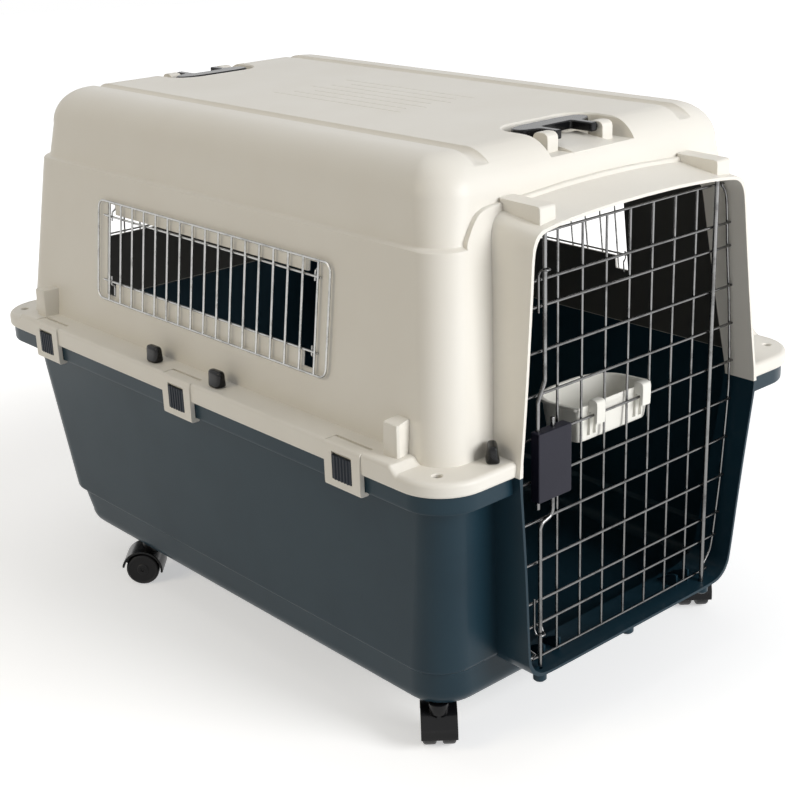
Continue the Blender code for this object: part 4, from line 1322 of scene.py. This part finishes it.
@dataclass
class LowerShell:
    """Floor pan, walls, rim, door sill, caster sockets and door stops."""

    sizes: Crate = SIZES
    edge_r: float = 22.0
    stop_x: tuple = (-140.0, -112.0, 118.0, 142.0)
    stop_outline: tuple = ((-464.0, 106.5), (-432.0, 100.0), (-432.0, 112.0), (-440.0, 117.5),
                           (-448.0, 122.0), (-457.0, 126.6), (-461.5, 127.5), (-464.0, 126.8))
    boss_y: float = -478.0
    boss: tuple = ((94.0, 5.0), (94.8, 6.4), (97.0, 8.5), (109.7, 8.5))
    sockets: tuple = ((252.5, -392.0), (252.5, 252.0))
    socket_wall: tuple = ((60.0, 17.0), (82.5, 14.3), (84.0, 12.8))
    socket_hole: tuple = ((50.0, 5.4), (79.0, 5.4))
    stations: tuple = (
        WallStation(385.65, 301.5, -459.0, 475.0, 40.0),
        WallStation(318.8, 299.0, -453.5, 463.5, 42.0),
        WallStation(128.0, 291.1, -436.2, 424.9, 50.0),
        WallStation(125.5, 290.4, -435.4, 423.9, 50.0),
        WallStation(121.5, 286.2, -431.2, 419.4, 51.5),
        WallStation(119.0, 284.4, -429.4, 417.3, 52.0),
        WallStation(90.0, 281.0, -427.0, 408.0, 54.0),
    )

    def walls(self, inset: float, radius: float, bottom: float, over: float = 0.0) -> list:
        """Rings from the parting line to the floor.

        Args:
            inset: distance inwards for the inner face.
            radius: reach of the rounded lower edge.
            bottom: height of the floor's face.
            over: how far a cutter passes the parting line.

        Returns:
            The rings.
        """
        first, *others = self.stations
        rings = [first.ring(inset, 0.0, over), *(station.ring(inset) for station in others)]
        last = others[-1]
        for k in range(1, 8):
            angle = math.radians(90 * k / 7)
            pull, drop = radius * (1 - math.cos(angle)), (last.z - bottom) * math.sin(angle)
            rings.append(last.ring(inset, pull, -drop))
        return rings

    def hollow(self) -> Body:
        """The hollow in the rim, kept clear of the tie holes.

        Returns:
            The cutter.
        """
        size = self.sizes
        low, top = size.rim_bottom - 5, size.part_z - size.part_gap - 5
        hollow = Body("lower_channel", Form().loft([
            size.flange_ring(low, 9.5), size.flange_ring(top, 9.5), size.wall_ring(top, 5.0),
            size.wall_ring(low, 5.0)], True))
        solid = Form()
        for sign in (-1, 1):
            size.columns(solid, sign, ((340.0, 11.0), (400.0, 11.0)), tie_sides=24)
        return hollow.cut(Form().box((-225.0, -520.0, 340.0), (225.0, -440.0, 400.0)), solid)

    def holes(self) -> Form:
        """The round holes of the ties, bolts, casters and rods.

        Returns:
            The cutter.
        """
        size = self.sizes
        tie_r, bolt_r, rod_r = size.tie_hole_r, size.bolt_hole_r, size.rod_hole_r
        form = Form()
        for sign in (-1, 1):
            size.columns(form, sign, ((340.0, tie_r), (400.0, tie_r)), ((350.0, bolt_r), (400.0, bolt_r)))
            for x, y in self.sockets:
                form.turned((sign * x, y, 0), Axis.Z, self.socket_hole, 20)
        for x, y in ((size.hinge_x, size.hinge_y), (size.lower_rod_x, size.rod_y)):
            form.turned((x, y, 0), Axis.Z, ((97.0, rod_r), (130.0, rod_r)), 20)
        return form

    def build(self) -> None:
        """Shapes and dresses the shell."""
        size = self.sizes
        low, top, bottom = size.rim_bottom, size.part_z - size.part_gap, size.floor_to_shell
        shell = Body("shell_lower", Form().loft(self.walls(0.0, self.edge_r, bottom)))
        rim = Form().loft([size.flange_ring(low, 6.0), size.flange_ring(low + 1.2, 5.2),
                           size.flange_ring(low + 4, 5.0), size.flange_ring(top, 5.0)])
        bosses = Form()
        for x in (size.lower_rod_x, 0.0, size.hinge_x):
            bosses.turned((x, self.boss_y, 0), Axis.Z, self.boss, 28)
        shell.add(rim, size.hood(False, 0.0), bosses)
        inside = Body("lower_inside", Form().loft(
            self.walls(size.skin, self.edge_r - 4.0, bottom + size.skin, 30.0)))
        keep = Form()
        for x, y in self.sockets:
            for sign in (-1, 1):
                keep.turned((sign * x, y, 0), Axis.Z, self.socket_wall, 32)
        shell.cut(inside.cut(keep), size.hood(False, 0.0, size.skin, -30.0, -395.0, 30.0), self.hollow())
        stops = Form()
        for x in self.stop_x:
            stops.prism(self.stop_outline, Axis.X, x - 1.6, x + 1.6)
        shell.add(stops).cut(self.holes())
        shell.dress("petrol", "crate", 30.0, "lower_shell")


@dataclass
class WireDoor:
    """The welded wire door with its pivot rod and the eyes that guide the latch rods."""

    sizes: Crate = SIZES
    pitch: float = 41.4
    rows: tuple = (167.8, 199.4, 251.5, 305.2, 357.9, 410.6, 462.2, 513.7, 566.6, 597.1)
    top: float = 649.5
    bottom: float = 119.7
    eye_r: float = 1.35
    edge: tuple = ((150.0, 119.7), (162.0, 126.0), (176.0, 140.0), (182.5, 155.0), (189.6, 201.6),
                   (196.7, 257.9), (204.5, 355.2), (205.0, 392.0), (204.0, 420.0), (197.9, 493.5),
                   (190.0, 560.6), (185.5, 612.0), (181.5, 634.0), (173.0, 645.5), (160.0, 648.6),
                   (0.0, 649.5))

    def half_at(self, z: float) -> float:
        """Half width of the door.

        Args:
            z: the height.

        Returns:
            The distance of the frame from the middle.
        """
        for (x0, z0), (x1, z1) in zip(self.edge, self.edge[1:]):
            if z0 <= z <= z1:
                return x0 + (x1 - x0) * (z - z0) / max(z1 - z0, 1e-6)
        return self.edge[0][0]

    def eye(self, form: Form, x: float, z: float, tail: float) -> None:
        """A wire eye round a latch rod, with two welded tails.

        Args:
            form: where it is added.
            x: place of the rod across the door.
            z: height of the eye.
            tail: height of the tails' ends.
        """
        size = self.sizes
        back = size.row_y - size.wire_r - 0.7
        left, right = x - 6.0, x + 6.0
        middle, front = back - 3.0, size.rod_y - 5.4
        knee = z + (7.0 if tail > z else -7.0)
        path = [(left, back, tail), (left, back, knee), (left + 0.3, middle, z), (left + 2.2, front, z),
                (right - 2.2, front, z), (right - 0.3, middle, z), (right, back, knee), (right, back, tail)]
        form.tube(bent(path, 5.0), self.eye_r, 10)

    def build(self) -> None:
        """Shapes and dresses the door."""
        size = self.sizes
        form = Form()
        right = [(x, size.column_y, z) for x, z in self.edge]
        left = [(-x, size.column_y, z) for x, z in reversed(self.edge) if x > 1]
        form.tube(smooth(right + left, 4, True), size.wire_r, 12, True)
        for k in range(-3, 4):
            heights = (self.bottom, 250, 400, 550, self.top - 0.2)
            form.tube([(k * self.pitch, size.column_y, z) for z in heights], size.wire_r, 12)
        for z in self.rows:
            half = self.half_at(z) + 2.5
            form.tube([(x, size.row_y, z) for x in (-half, -half / 3, half / 3, half)], size.wire_r, 12)
        form.tube([(size.hinge_x, size.hinge_y, z) for z in (98.0, 300.0, 500.0, 674.0)], size.hinge_r, 16)
        self.eye(form, size.rod_x, 610.0, 560.0)
        self.eye(form, size.lower_rod_x, 158.0, 206.0)
        Body("door_wires", form).dress("wire", "door", 50.0, "door_mesh")


@dataclass
class Latch:
    """The two sprung rods and the housing between them."""

    sizes: Crate = SIZES
    upper_x: float = -166.5
    lower_x: float = -141.5
    box_x: tuple = (-174.5, -119.0)
    box_y: float = -488.0
    box_z: tuple = (335.3, 421.4)
    box_edge: tuple = ((0.0, 1.6), (0.5, 0.5), (1.8, 0.0))
    wall: float = 2.4
    collar_r: float = 3.9
    spring_r: float = 3.5
    spring_wire: float = 0.5
    turns: int = 6

    def rods(self) -> None:
        """The upper and the lower rod, each with its collar."""
        size = self.sizes
        x, low_x, y = size.rod_x, size.lower_rod_x, size.rod_y
        upper = [(x, y, 656.6), (x, y, 480.0), (x - 3, y, 473.0), (self.upper_x + 3, y, 463.0),
                 (self.upper_x, y, 456.0), (self.upper_x, y, 323.0)]
        lower = [(low_x, y, 113.4), (low_x, y, 298.0), (low_x + 3.5, y, 304.0),
                 (self.lower_x - 3.5, y, 308.5), (self.lower_x, y, 315.0), (self.lower_x, y, 433.0)]
        runs = (("upper", upper, self.upper_x, 405.5), ("lower", lower, self.lower_x, 348.0))
        for word, path, px, z in runs:
            form = Form().tube(bent(path, 9.0), size.rod_r, 16)
            form.turned((px, y, 0), Axis.Z, ((z, 3.2), (z + 0.4, self.collar_r), (z + 2.6, self.collar_r),
                                             (z + 3.0, 3.2)), 24)
            name = f"latch_rod_{word}"
            Body(f"rod_{word}", form).dress("wire", name, 50.0, name)

    def housing(self) -> None:
        """The moulded housing, open at the back."""
        size = self.sizes
        x0, x1 = self.box_x
        y0, y1 = self.box_y, size.row_y - size.wire_r - 0.35
        z0, z1 = self.box_z
        levels = [(z0 + rise, pull) for rise, pull in self.box_edge]
        levels += [(z1 - rise, pull) for rise, pull in reversed(self.box_edge)]
        box = Body("latch_cover", Form().loft([
            at_z(rounded(x0 + pull, x1 - pull, y0 + pull, y1, 1.4, 5), z) for z, pull in levels]))
        w, r = self.wall, size.rod_r + 0.5
        holes = Form()
        for px in (self.upper_x, self.lower_x):
            holes.turned((px, size.rod_y, 0), Axis.Z, ((z0 - 5, r), (z1 + 5, r)), 24)
        box.cut(Form().box((x0 + w, y0 + w, z0 + w), (x1 - w, y1 + 5, z1 - w)), holes)
        box.dress("plate", "door", 40.0, "latch_housing")

    def springs(self) -> None:
        """The two coil springs inside the housing."""
        size = self.sizes
        z0, z1 = self.box_z
        ends = {"upper": (z0 + self.wall + 0.3, 405.2), "lower": (351.3, z1 - self.wall - 0.3)}
        per = 20
        for word, px in (("upper", self.upper_x), ("lower", self.lower_x)):
            low, high = ends[word][0] + self.spring_wire, ends[word][1] - self.spring_wire
            count = self.turns * per
            path = [(px + self.spring_r * math.cos(2 * math.pi * k / per),
                     size.rod_y + self.spring_r * math.sin(2 * math.pi * k / per),
                     low + (high - low) * k / count) for k in range(count + 1)]
            coil = Body(f"spring_{word}", Form().tube(path, self.spring_wire, 8))
            coil.dress("wire", "door", 60.0, f"latch_spring_{word}")

    def build(self) -> None:
        """Builds the whole latch."""
        self.rods()
        self.housing()
        self.springs()


@dataclass
class Bowl:
    """The hang-on food bowl with its two hooks."""

    centre_x: float = -17.0
    half: float = 67.0
    back_y: float = -466.2
    front_y: float = -382.5
    tilt: float = 3.0
    pivot: tuple = (0.0, -466.0, 410.0)
    cup: tuple = ((-12.0, 374.0), (-8.5, 374.4), (-6.3, 375.6), (-5.0, 378.5), (-0.2, 415.8), (0.4, 416.8),
                  (2.4, 417.4), (3.0, 418.2), (3.0, 420.6), (2.5, 421.6), (1.4, 422.0))
    cavity: tuple = ((-17.0, 376.6), (-12.0, 377.0), (-9.3, 378.6), (-7.8, 382.0), (-3.0, 418.5),
                     (-2.4, 421.0), (-1.2, 422.2), (-1.2, 430.0))
    hook_x: tuple = (-58.0, 26.0)
    hook_half: float = 7.5
    hook_back: tuple = ((-464.4, 408.0), (-464.2, 420.0), (-465.4, 427.6), (-470.0, 429.5), (-476.0, 429.3),
                        (-479.4, 426.0), (-479.6, 412.0), (-479.2, 400.5))
    hook_mouth: tuple = ((-475.8, 400.5), (-475.3, 412.3), (-473.8, 413.4), (-468.6, 413.4),
                         (-467.0, 412.6), (-466.4, 408.0))
    rib_outline: tuple = ((-467.2, 384.0), (-462.0, 381.0), (-464.6, 412.0), (-467.2, 412.0))
    rib_shift: float = 5.2
    rib_half: float = 0.8

    def outline(self, grow: float, z: float) -> list[Point]:
        """The bowl's D shape.

        Args:
            grow: distance outwards.
            z: the height.

        Returns:
            Points round the bowl.
        """
        x0, x1 = self.centre_x - self.half - grow, self.centre_x + self.half + grow
        y0, y1 = self.back_y - min(grow, 0.0), self.front_y + grow
        r = 5.0
        points = []
        for cx, start in ((x0 + r, 180), (x1 - r, 270)):
            for k in range(5):
                a = math.radians(start + 90 * k / 4)
                points.append((cx + r * math.cos(a), y0 + r + r * math.sin(a)))
        cx, rx, mid = (x0 + x1) / 2, (x1 - x0) / 2, y0 + 30.0
        for k in range(29):
            a = math.pi * k / 28
            across = math.copysign(abs(math.cos(a)) ** 0.75, math.cos(a))
            points.append((cx + rx * across, mid + (y1 - mid) * max(math.sin(a), 0.0) ** 0.7))
        return at_z(points, z)

    def build(self) -> None:
        """Shapes and dresses the bowl."""
        cup, cavity = (Form().loft([self.outline(grow, z) for grow, z in levels])
                       for levels in (self.cup, self.cavity))
        pivot = Matrix.Translation(self.pivot)
        lean = pivot @ Matrix.Rotation(-math.radians(self.tilt), 4, "X") @ pivot.inverted()
        bowl = Body("bowl_cup", cup.moved(lean)).cut(cavity.moved(lean))
        outline = [(p.x, p.y) for p in smooth([(y, z, 0) for y, z in self.hook_back], 3)]
        outline += self.hook_mouth
        # The hooks and the ribs overlap, so each group is added by itself
        hooks, ribs = Form(), Form()
        for x in self.hook_x:
            hooks.prism(outline, Axis.X, x - self.hook_half, x + self.hook_half, 0.9)
            for middle in (x - self.rib_shift, x + self.rib_shift):
                ribs.prism(self.rib_outline, Axis.X, middle - self.rib_half, middle + self.rib_half)
        bowl.add(hooks, ribs)
        bowl.dress("bowl", "bowl", 38.0, "bowl")


@dataclass
class WindowGrille:
    """A wire grille that hooks into a window opening."""

    name: str
    low: float
    high: float
    first: float
    bars: int
    side: Optional[Side]
    z: tuple = (464.0, 601.5)
    wire_r: float = 1.5
    pitch: float = 28.73
    stand_off: float = 4.6
    corner: float = 12.0
    sizes: Crate = SIZES
    side_lean: float = 31.7
    rear_lean: float = 28.0
    rails: tuple = ((580.6, 1), (490.0, -1))
    rail_depth: float = -2.6
    hook_r: float = 1.25

    def spot(self, t: float, z: float, depth: float = 0.0) -> Vector:
        """A point on the grille's plane.

        Args:
            t: place along the window.
            z: the height.
            depth: distance out from the plane.

        Returns:
            The point.
        """
        foot = self.sizes.wall_foot
        share = (z - foot.z) / (self.sizes.ledge_z - foot.z)
        if self.side is None:
            return Vector((t, foot.rear - self.rear_lean * share + self.stand_off + depth, z))
        across = foot.half - self.side_lean * share + self.stand_off + depth
        return Vector((self.side.value * across, t, z))

    def build(self) -> None:
        """Shapes and dresses the grille."""
        form = Form()
        z0, z1 = self.z
        edge = [self.spot(t, z) for t, z in rounded(self.low, self.high, z0, z1, self.corner, 8)]
        form.tube(edge, self.wire_r, 12, True)
        for k in range(self.bars):
            t = self.first + k * self.pitch
            bar = [self.spot(t, z) for z in (z0 + 0.2, 510.0, 555.0, z1 - 0.2)]
            form.tube(bar, self.wire_r, 12, dome=False)
        for z, _ in self.rails:
            rail = [self.spot(t, z, self.rail_depth) for t in (self.low + 19.0, 0.0, self.high - 10.0)]
            form.tube(rail, self.wire_r, 12)
        for t in (self.low + 33.0, self.high - 28.0):
            for z, turn in self.rails:
                hook = [self.spot(t, z + out * turn, depth)
                        for out, depth in ((-6.5, -4.6), (6.0, -4.6), (9.0, -9.8), (25.0, -9.8))]
                form.tube(bent(hook, 4.0), self.hook_r, 10)
        # The grilles take the lighter copy of the wire, painted light.
        Body(f"wires_{self.name}", form).dress("bright", "crate", 50.0, f"window_grille_{self.name}")


@dataclass
class RoofHandle:
    """A folding bail handle on two pins."""

    end: End
    sizes: Crate = SIZES
    z: tuple = (723.5, 734.5)
    half: tuple = ((26.0, -385.0), (27.5, -386.0), (35.0, -386.0), (36.5, -384.5), (36.5, -364.0),
                   (38.5, -360.5), (55.0, -354.5), (60.5, -349.5), (62.0, -342.0), (59.0, -335.0),
                   (52.0, -331.0), (42.0, -328.4), (30.0, -327.0))
    inner: tuple = ((22.0, -353.0), (25.2, -353.8), (26.0, -357.0))
    pin_x: tuple = (25.0, 50.0)
    pin_r: float = 3.2

    def build(self) -> None:
        """Shapes and dresses the handle."""
        axis_y, axis_z = self.sizes.handle_axis
        outline = [*self.half, *((-x, y) for x, y in self.half[::-1]),
                   *((-x, y) for x, y in self.inner[::-1]), *self.inner]
        flat = [(x, self.sizes.roof_place(self.end, y)) for x, y in outline]
        handle = Body(f"handle_{self.end.word}", Form().prism(flat, Axis.Z, *self.z))
        handle.round_edges(2.2, 4, 50.0)
        axis = (0, self.sizes.roof_place(self.end, axis_y), axis_z)
        pins = Form()
        for sign in (-1, 1):
            x0, x1 = sorted(sign * x for x in self.pin_x)
            pins.turned(axis, Axis.X, ((x0, self.pin_r), (x1, self.pin_r)), 24)
        name = f"roof_handle_{self.end.word}"
        handle.add(pins).dress("black", name, 40.0, name)


@dataclass
class SideClip:
    """A snap clip on its pin, with a ribbed sliding lock."""

    side: Side
    index: int
    sizes: Crate = SIZES
    lock_z: tuple = (369.0, 399.0)
    lock_half: float = 17.4
    ribs: tuple = (-12.8, -7.2, -1.6, 4.0, 9.6)
    rib: tuple = ((339.1, 0.0), (339.9, 0.5), (340.1, 1.2), (340.1, 2.0), (339.9, 2.7), (339.1, 3.2))
    profile: tuple = ((318.0, 406.7), (318.3, 410.0), (319.1, 411.4), (320.5, 412.2), (334.2, 412.2),
                      (336.2, 411.5), (337.6, 409.9), (338.5, 406.5), (338.5, 361.2), (338.0, 359.0),
                      (336.6, 357.8), (335.0, 357.5), (327.0, 357.5), (325.8, 358.4), (325.2, 361.9),
                      (332.0, 362.4), (332.0, 400.4), (328.5, 401.4), (323.5, 401.4), (319.6, 403.0))

    @property
    def tag(self) -> str:
        """What the names of its pieces end with."""
        return f"{self.side.word}_{self.index}"

    def clip(self, sign: int, y: float) -> None:
        """Shapes and dresses the clip.

        Args:
            sign: -1 for the left side, 1 for the right.
            y: the clip's middle.
        """
        size = self.sizes
        outline = [(sign * x, z) for x, z in self.profile]
        clip = Body(f"clip_body_{self.tag}", Form().prism(outline, Axis.Y, y - size.clip_half,
                                                          y + size.clip_half, 0.8))
        axis, r = (sign * size.clip_axis[0], 0, size.clip_axis[1]), size.pin_r + 0.3
        x0, x1 = sorted((sign * 334.6, sign * 350.0))
        half = self.lock_half + 0.4
        clip.cut(Form().turned(axis, Axis.Y, ((y - 40, r), (y + 40, r)), 16),
                 Form().box((x0, y - half, self.lock_z[0] - 0.3), (x1, y + half, self.lock_z[1] + 3.8)))
        clip.dress("ivory", f"clip_{self.tag}", 30.0, f"clip_{self.tag}")

    def lock(self, sign: int, y: float) -> None:
        """Shapes and dresses the lock.

        Args:
            sign: -1 for the left side, 1 for the right.
            y: the clip's middle.
        """
        half = self.lock_half
        grip = [(334.9, -half), (338.4, -half), (339.1, -half + 0.7)]
        for place in self.ribs:
            grip += [(x, place + t) for x, t in self.rib]
        grip += [(339.1, half - 0.7), (338.4, half), (334.9, half)]
        form = Form().prism([(sign * x, y + t) for x, t in grip], Axis.Z, *self.lock_z, 0.5)
        Body(f"lock_{self.tag}", form).dress("navy", f"clip_lock_{self.tag}", 30.0, f"clip_lock_{self.tag}")

    def build(self) -> None:
        """Builds the clip and its lock."""
        sign, y = self.side.value, self.sizes.clip_y[self.index - 1]
        self.clip(sign, y)
        self.lock(sign, y)


@dataclass
class WingKnob:
    """A wing knob on its bolt."""

    tag: str
    x: float
    y: float
    seat: float
    turn: float
    levels: tuple = ((9.6, 7.0, 0.0), (10.6, 7.6, 0.5), (11.6, 8.0, 1.8), (12.4, 7.7, 3.6), (13.1, 6.9, 6.5),
                     (13.2, 6.3, 11.0), (13.2, 6.0, 16.0), (12.8, 5.6, 18.6), (11.7, 4.7, 20.5),
                     (9.8, 3.0, 21.3), (7.0, 1.2, 21.5))
    square: float = 0.55
    bore_r: float = 3.35

    def ring(self, a: float, b: float, rise: float) -> list[Point]:
        """A rounded lozenge round the knob's axis.

        Args:
            a: half length.
            b: half width.
            rise: height over the seat.

        Returns:
            Points round it.
        """
        spin = Matrix.Rotation(math.radians(self.turn), 2)
        points = []
        for k in range(28):
            t = 2 * math.pi * k / 28
            c, s = (math.copysign(abs(v) ** self.square, v) for v in (math.cos(t), math.sin(t)))
            p = spin @ Vector((a * c, b * s))
            points.append((self.x + p.x, self.y + p.y, self.seat + rise))
        return points

    def build(self) -> None:
        """Shapes and dresses the knob."""
        knob = Body(f"wing_{self.tag}", Form().loft([self.ring(*level) for level in self.levels]))
        bore = ((self.seat - 4, self.bore_r), (self.seat + 14, self.bore_r))
        knob.cut(Form().turned((self.x, self.y, 0), Axis.Z, bore, 20))
        name = f"knob_{self.tag}"
        knob.dress("black", name, 40.0, name)


@dataclass
class TwinCaster:
    """A hooded caster with two wheels on one axle."""

    end: End
    side: Side
    x: float
    y: float
    heading: float
    trail: float = 13.0
    wheel_r: float = 25.0
    hood_r: tuple = (31.0, 27.6)
    hood_half: float = 23.0
    web: tuple = ((-29.0, 30.0), (-8.0, 20.0), (0.0, 18.5), (8.0, 18.0), (29.0, 30.0), (18.0, 50.0),
                  (-22.0, 50.0))
    web_half: float = 2.6
    neck: tuple = ((50.8, 11.4), (53.0, 12.3), (60.0, 12.8), (65.0, 12.6), (65.7, 11.8), (65.7, 5.0),
                   (77.0, 5.0), (77.5, 4.4))
    axle: tuple = ((-20.0, 3.0), (20.0, 3.0))
    tread: tuple = ((3.4, 20.5), (4.2, 23.4), (5.8, 24.8), (7.6, 25.0), (16.4, 25.0), (18.6, 24.7),
                    (20.2, 23.3), (20.9, 21.6), (20.2, 20.6), (19.4, 19.0), (19.6, 9.0), (20.6, 8.0),
                    (21.0, 6.5))
    bore: tuple = ((0.5, 3.35), (26.0, 3.35))

    @property
    def tag(self) -> str:
        """What the names of its pieces end with."""
        return f"{self.end.word}_{self.side.word}"

    @property
    def turn(self) -> Matrix:
        """How the caster stands about its stem."""
        return Matrix.Rotation(math.radians(-self.heading), 4, "Z")

    def fork(self, stem: Vector) -> None:
        """Shapes and dresses the hood with its web, neck and axle.

        Args:
            stem: the foot of the stem's axis.
        """
        centre = Matrix.Translation(stem)
        cy, cz = self.trail, self.wheel_r
        arcs = []
        for r in self.hood_r:
            angles = [math.radians(10 + 180 * k / 24) for k in range(25)]
            arcs.append([(cy + r * math.cos(a), cz + r * math.sin(a)) for a in angles])
        hood = Form().prism(arcs[0] + arcs[1][::-1], Axis.X, -self.hood_half, self.hood_half)
        fork = Body(f"fork_{self.tag}", hood.moved(self.turn).moved(centre)).round_edges(1.0, 3, 50.0)
        web = Form().prism([(cy + y, z) for y, z in self.web], Axis.X, -self.web_half, self.web_half)
        neck = Form().turned((0, 0, 0), Axis.Z, self.neck, 28)
        axle = Form().turned((0, cy, cz), Axis.X, self.axle, 20)
        fork.add(*(form.moved(self.turn).moved(centre) for form in (web, neck, axle)))
        fork.dress("black", f"caster_{self.tag}", 35.0, f"caster_{self.tag}")

    def wheels(self, stem: Vector) -> None:
        """Shapes and dresses the two wheels.

        Args:
            stem: the foot of the stem's axis.
        """
        place = Matrix.Translation(self.turn @ Vector((0, self.trail, self.wheel_r)) + stem)
        for letter, sign in (("a", -1), ("b", 1)):
            tread = Form().turned((0, 0, 0), Axis.X, [(sign * t, r) for t, r in self.tread], 40, math.pi / 2)
            bore = Form().turned((0, 0, 0), Axis.X, sorted((sign * t, r) for t, r in self.bore), 20)
            name = f"wheel_{self.tag}_{letter}"
            wheel = Body(f"tyre_{self.tag}_{letter}", tread.moved(self.turn).moved(place))
            wheel.cut(bore.moved(self.turn).moved(place)).dress("wheel", name, 35.0, name)

    def build(self) -> None:
        """Builds the caster and its two wheels."""
        stem = Vector((self.side.value * self.x, self.y, 0))
        self.fork(stem)
        self.wheels(stem)


@dataclass
class Hardware:
    """Pins and bolts, whose solids stay and only get a finish."""

    prefixes: tuple = ("clip_pin_", "bolt_")

    def build(self) -> None:
        """Paints the kept solids."""
        for name, node in sorted(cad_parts.items()):
            if name.startswith(self.prefixes):
                node.data.materials.clear()
                node.data.materials.append(PAINT.material("wire"))
                LOG.info("%s: kept solid", name)


# Studio


@dataclass(frozen=True)
class Lamp:
    """A square area lamp that faces a target."""

    name: str
    place: tuple
    target: tuple
    size: float
    watts: float
    colour: tuple = (1.0, 1.0, 1.0)

    def build(self) -> None:
        """Hangs the lamp."""
        data = bpy.data.lights.new(self.name, "AREA")
        data.shape, data.size, data.energy, data.color = "SQUARE", self.size, self.watts, self.colour
        lamp = bpy.data.objects.new(self.name, data)
        lamp.location = self.place
        ahead = Vector(self.target) - Vector(self.place)
        lamp.rotation_euler = ahead.to_track_quat("-Z", "Y").to_euler()
        bpy.context.scene.collection.objects.link(lamp)


@dataclass
class Studio:
    """Floor, lamps, world and camera."""

    place: tuple = (-1.3166, -1.5605, 1.0584)
    yaw: float = 41.098
    pitch: float = 20.665
    roll: float = -2.083
    focal: float = 1489.0
    frame_px: int = 800
    sensor: float = 36.0
    clip: tuple = (0.05, 60.0)
    ambient: float = 0.20
    floor_z: tuple = (-20.0, -0.3)
    floor_reach: float = 9000.0
    floor_colour: tuple = (0.86, 0.86, 0.86)
    floor_near: tuple = (0.48, 0.48, 0.48)
    floor_far: tuple = (0.95, 0.95, 0.95)
    floor_fade: tuple = (0.8, 1.8)
    lamps: tuple = (
        Lamp("key", (0.9, -4.0, 1.9), (0.0, -0.1, 0.40), 2.0, 142.0),
        Lamp("fill", (-3.2, 0.6, 2.2), (0.0, 0.0, 0.45), 1.6, 26.0, (1.0, 0.88, 0.66)),
        Lamp("top", (0.0, 0.4, 3.4), (0.0, 0.0, 0.5), 2.4, 20.0),
    )

    def camera(self) -> None:
        """The camera at the photograph's place."""
        yaw, pitch, roll = (math.radians(v) for v in (self.yaw, self.pitch, self.roll))
        ahead = Vector((math.sin(yaw) * math.cos(pitch), math.cos(yaw) * math.cos(pitch), -math.sin(pitch)))
        right = Vector((math.cos(yaw), -math.sin(yaw), 0))
        up = right.cross(ahead)
        across = right * math.cos(roll) + up * math.sin(roll)
        above = up * math.cos(roll) - right * math.sin(roll)
        data = bpy.data.cameras.new("camera")
        data.sensor_width = self.sensor
        data.lens = self.focal / self.frame_px * self.sensor
        data.clip_start, data.clip_end = self.clip
        camera = bpy.data.objects.new("camera", data)
        camera.matrix_world = Matrix.Translation(self.place) @ Matrix(
            [[across[i], above[i], -ahead[i]] for i in range(3)]).to_4x4()
        bpy.context.scene.collection.objects.link(camera)
        bpy.context.scene.camera = camera

    def world(self) -> None:
        """Soft ambient light, and white behind the object."""
        world = bpy.data.worlds.new("studio")
        bpy.context.scene.world = world
        shade = Shade(world, "Background")
        shade.set(Color=(1.0, 1.0, 1.0), Strength=self.ambient + shade.seen() * (1.0 - self.ambient))

    def floor(self) -> None:
        """A wide pale floor that fades to white far from the object."""
        low, high = self.floor_z
        outline = ((low, self.floor_reach), (high, self.floor_reach))
        body = Body("studio_floor", Form().turned((0, 0, 0), Axis.Z, outline, 64))
        shade = Shade(bpy.data.materials.new("studio_floor"))
        x, y, _ = shade.split(shade.place())
        far = ((x * x + y * y) ** 0.5).step(*self.floor_fade)
        glow = shade.mix(far, self.floor_near, self.floor_far)
        shade.set(Base_Color=self.floor_colour, Roughness=0.9, Specular_IOR_Level=0.1,
                  Emission_Color=shade.mix(shade.seen(), (0.0, 0.0, 0.0), glow), Emission_Strength=1.0)
        body.object.data.materials.append(shade.owner)

    def build(self) -> None:
        """Sets the whole studio."""
        self.camera()
        self.world()
        self.floor()
        for lamp in self.lamps:
            lamp.build()
        bpy.context.scene.view_settings.view_transform = "Standard"


def knobs() -> Iterator[WingKnob]:
    """Every wing knob in its place.

    Returns:
        The knobs, one after the other.
    """
    for side in Side:
        x, seat = side.value * SIZES.side_knob_x, SIZES.run_top + SIZES.gap
        for index, y in enumerate(SIZES.side_knob_y, 1):
            yield WingKnob(f"{side.word}_{index}", x, y, seat, 90.0)
        x, y = SIZES.front_knob
        yield WingKnob(f"front_{side.word}", side.value * x, y, SIZES.flange_top + SIZES.gap, 49.0)


def main() -> None:
    """Builds the crate and the studio."""
    logging.basicConfig(level=logging.INFO, format="%(name)s: %(message)s")
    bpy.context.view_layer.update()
    UpperShell().build()
    LowerShell().build()
    WireDoor().build()
    Latch().build()
    Bowl().build()
    WindowGrille("left", -256.7, 254.6, -234.3, 17, Side.LEFT).build()
    WindowGrille("right", -256.7, 254.6, -234.3, 17, Side.RIGHT).build()
    WindowGrille("rear", -196.0, 196.0, -172.4, 13, None).build()
    for end in End:
        RoofHandle(end).build()
    for side in Side:
        for index in (1, 2, 3):
            SideClip(side, index).build()
    for knob in knobs():
        knob.build()
    for side in Side:
        TwinCaster(End.FRONT, side, 252.5, -392.0, 41.0).build()
        TwinCaster(End.REAR, side, 252.5, 252.0, -48.0).build()
    Hardware().build()
    Studio().build()


if __name__ == "__main__":
    main()
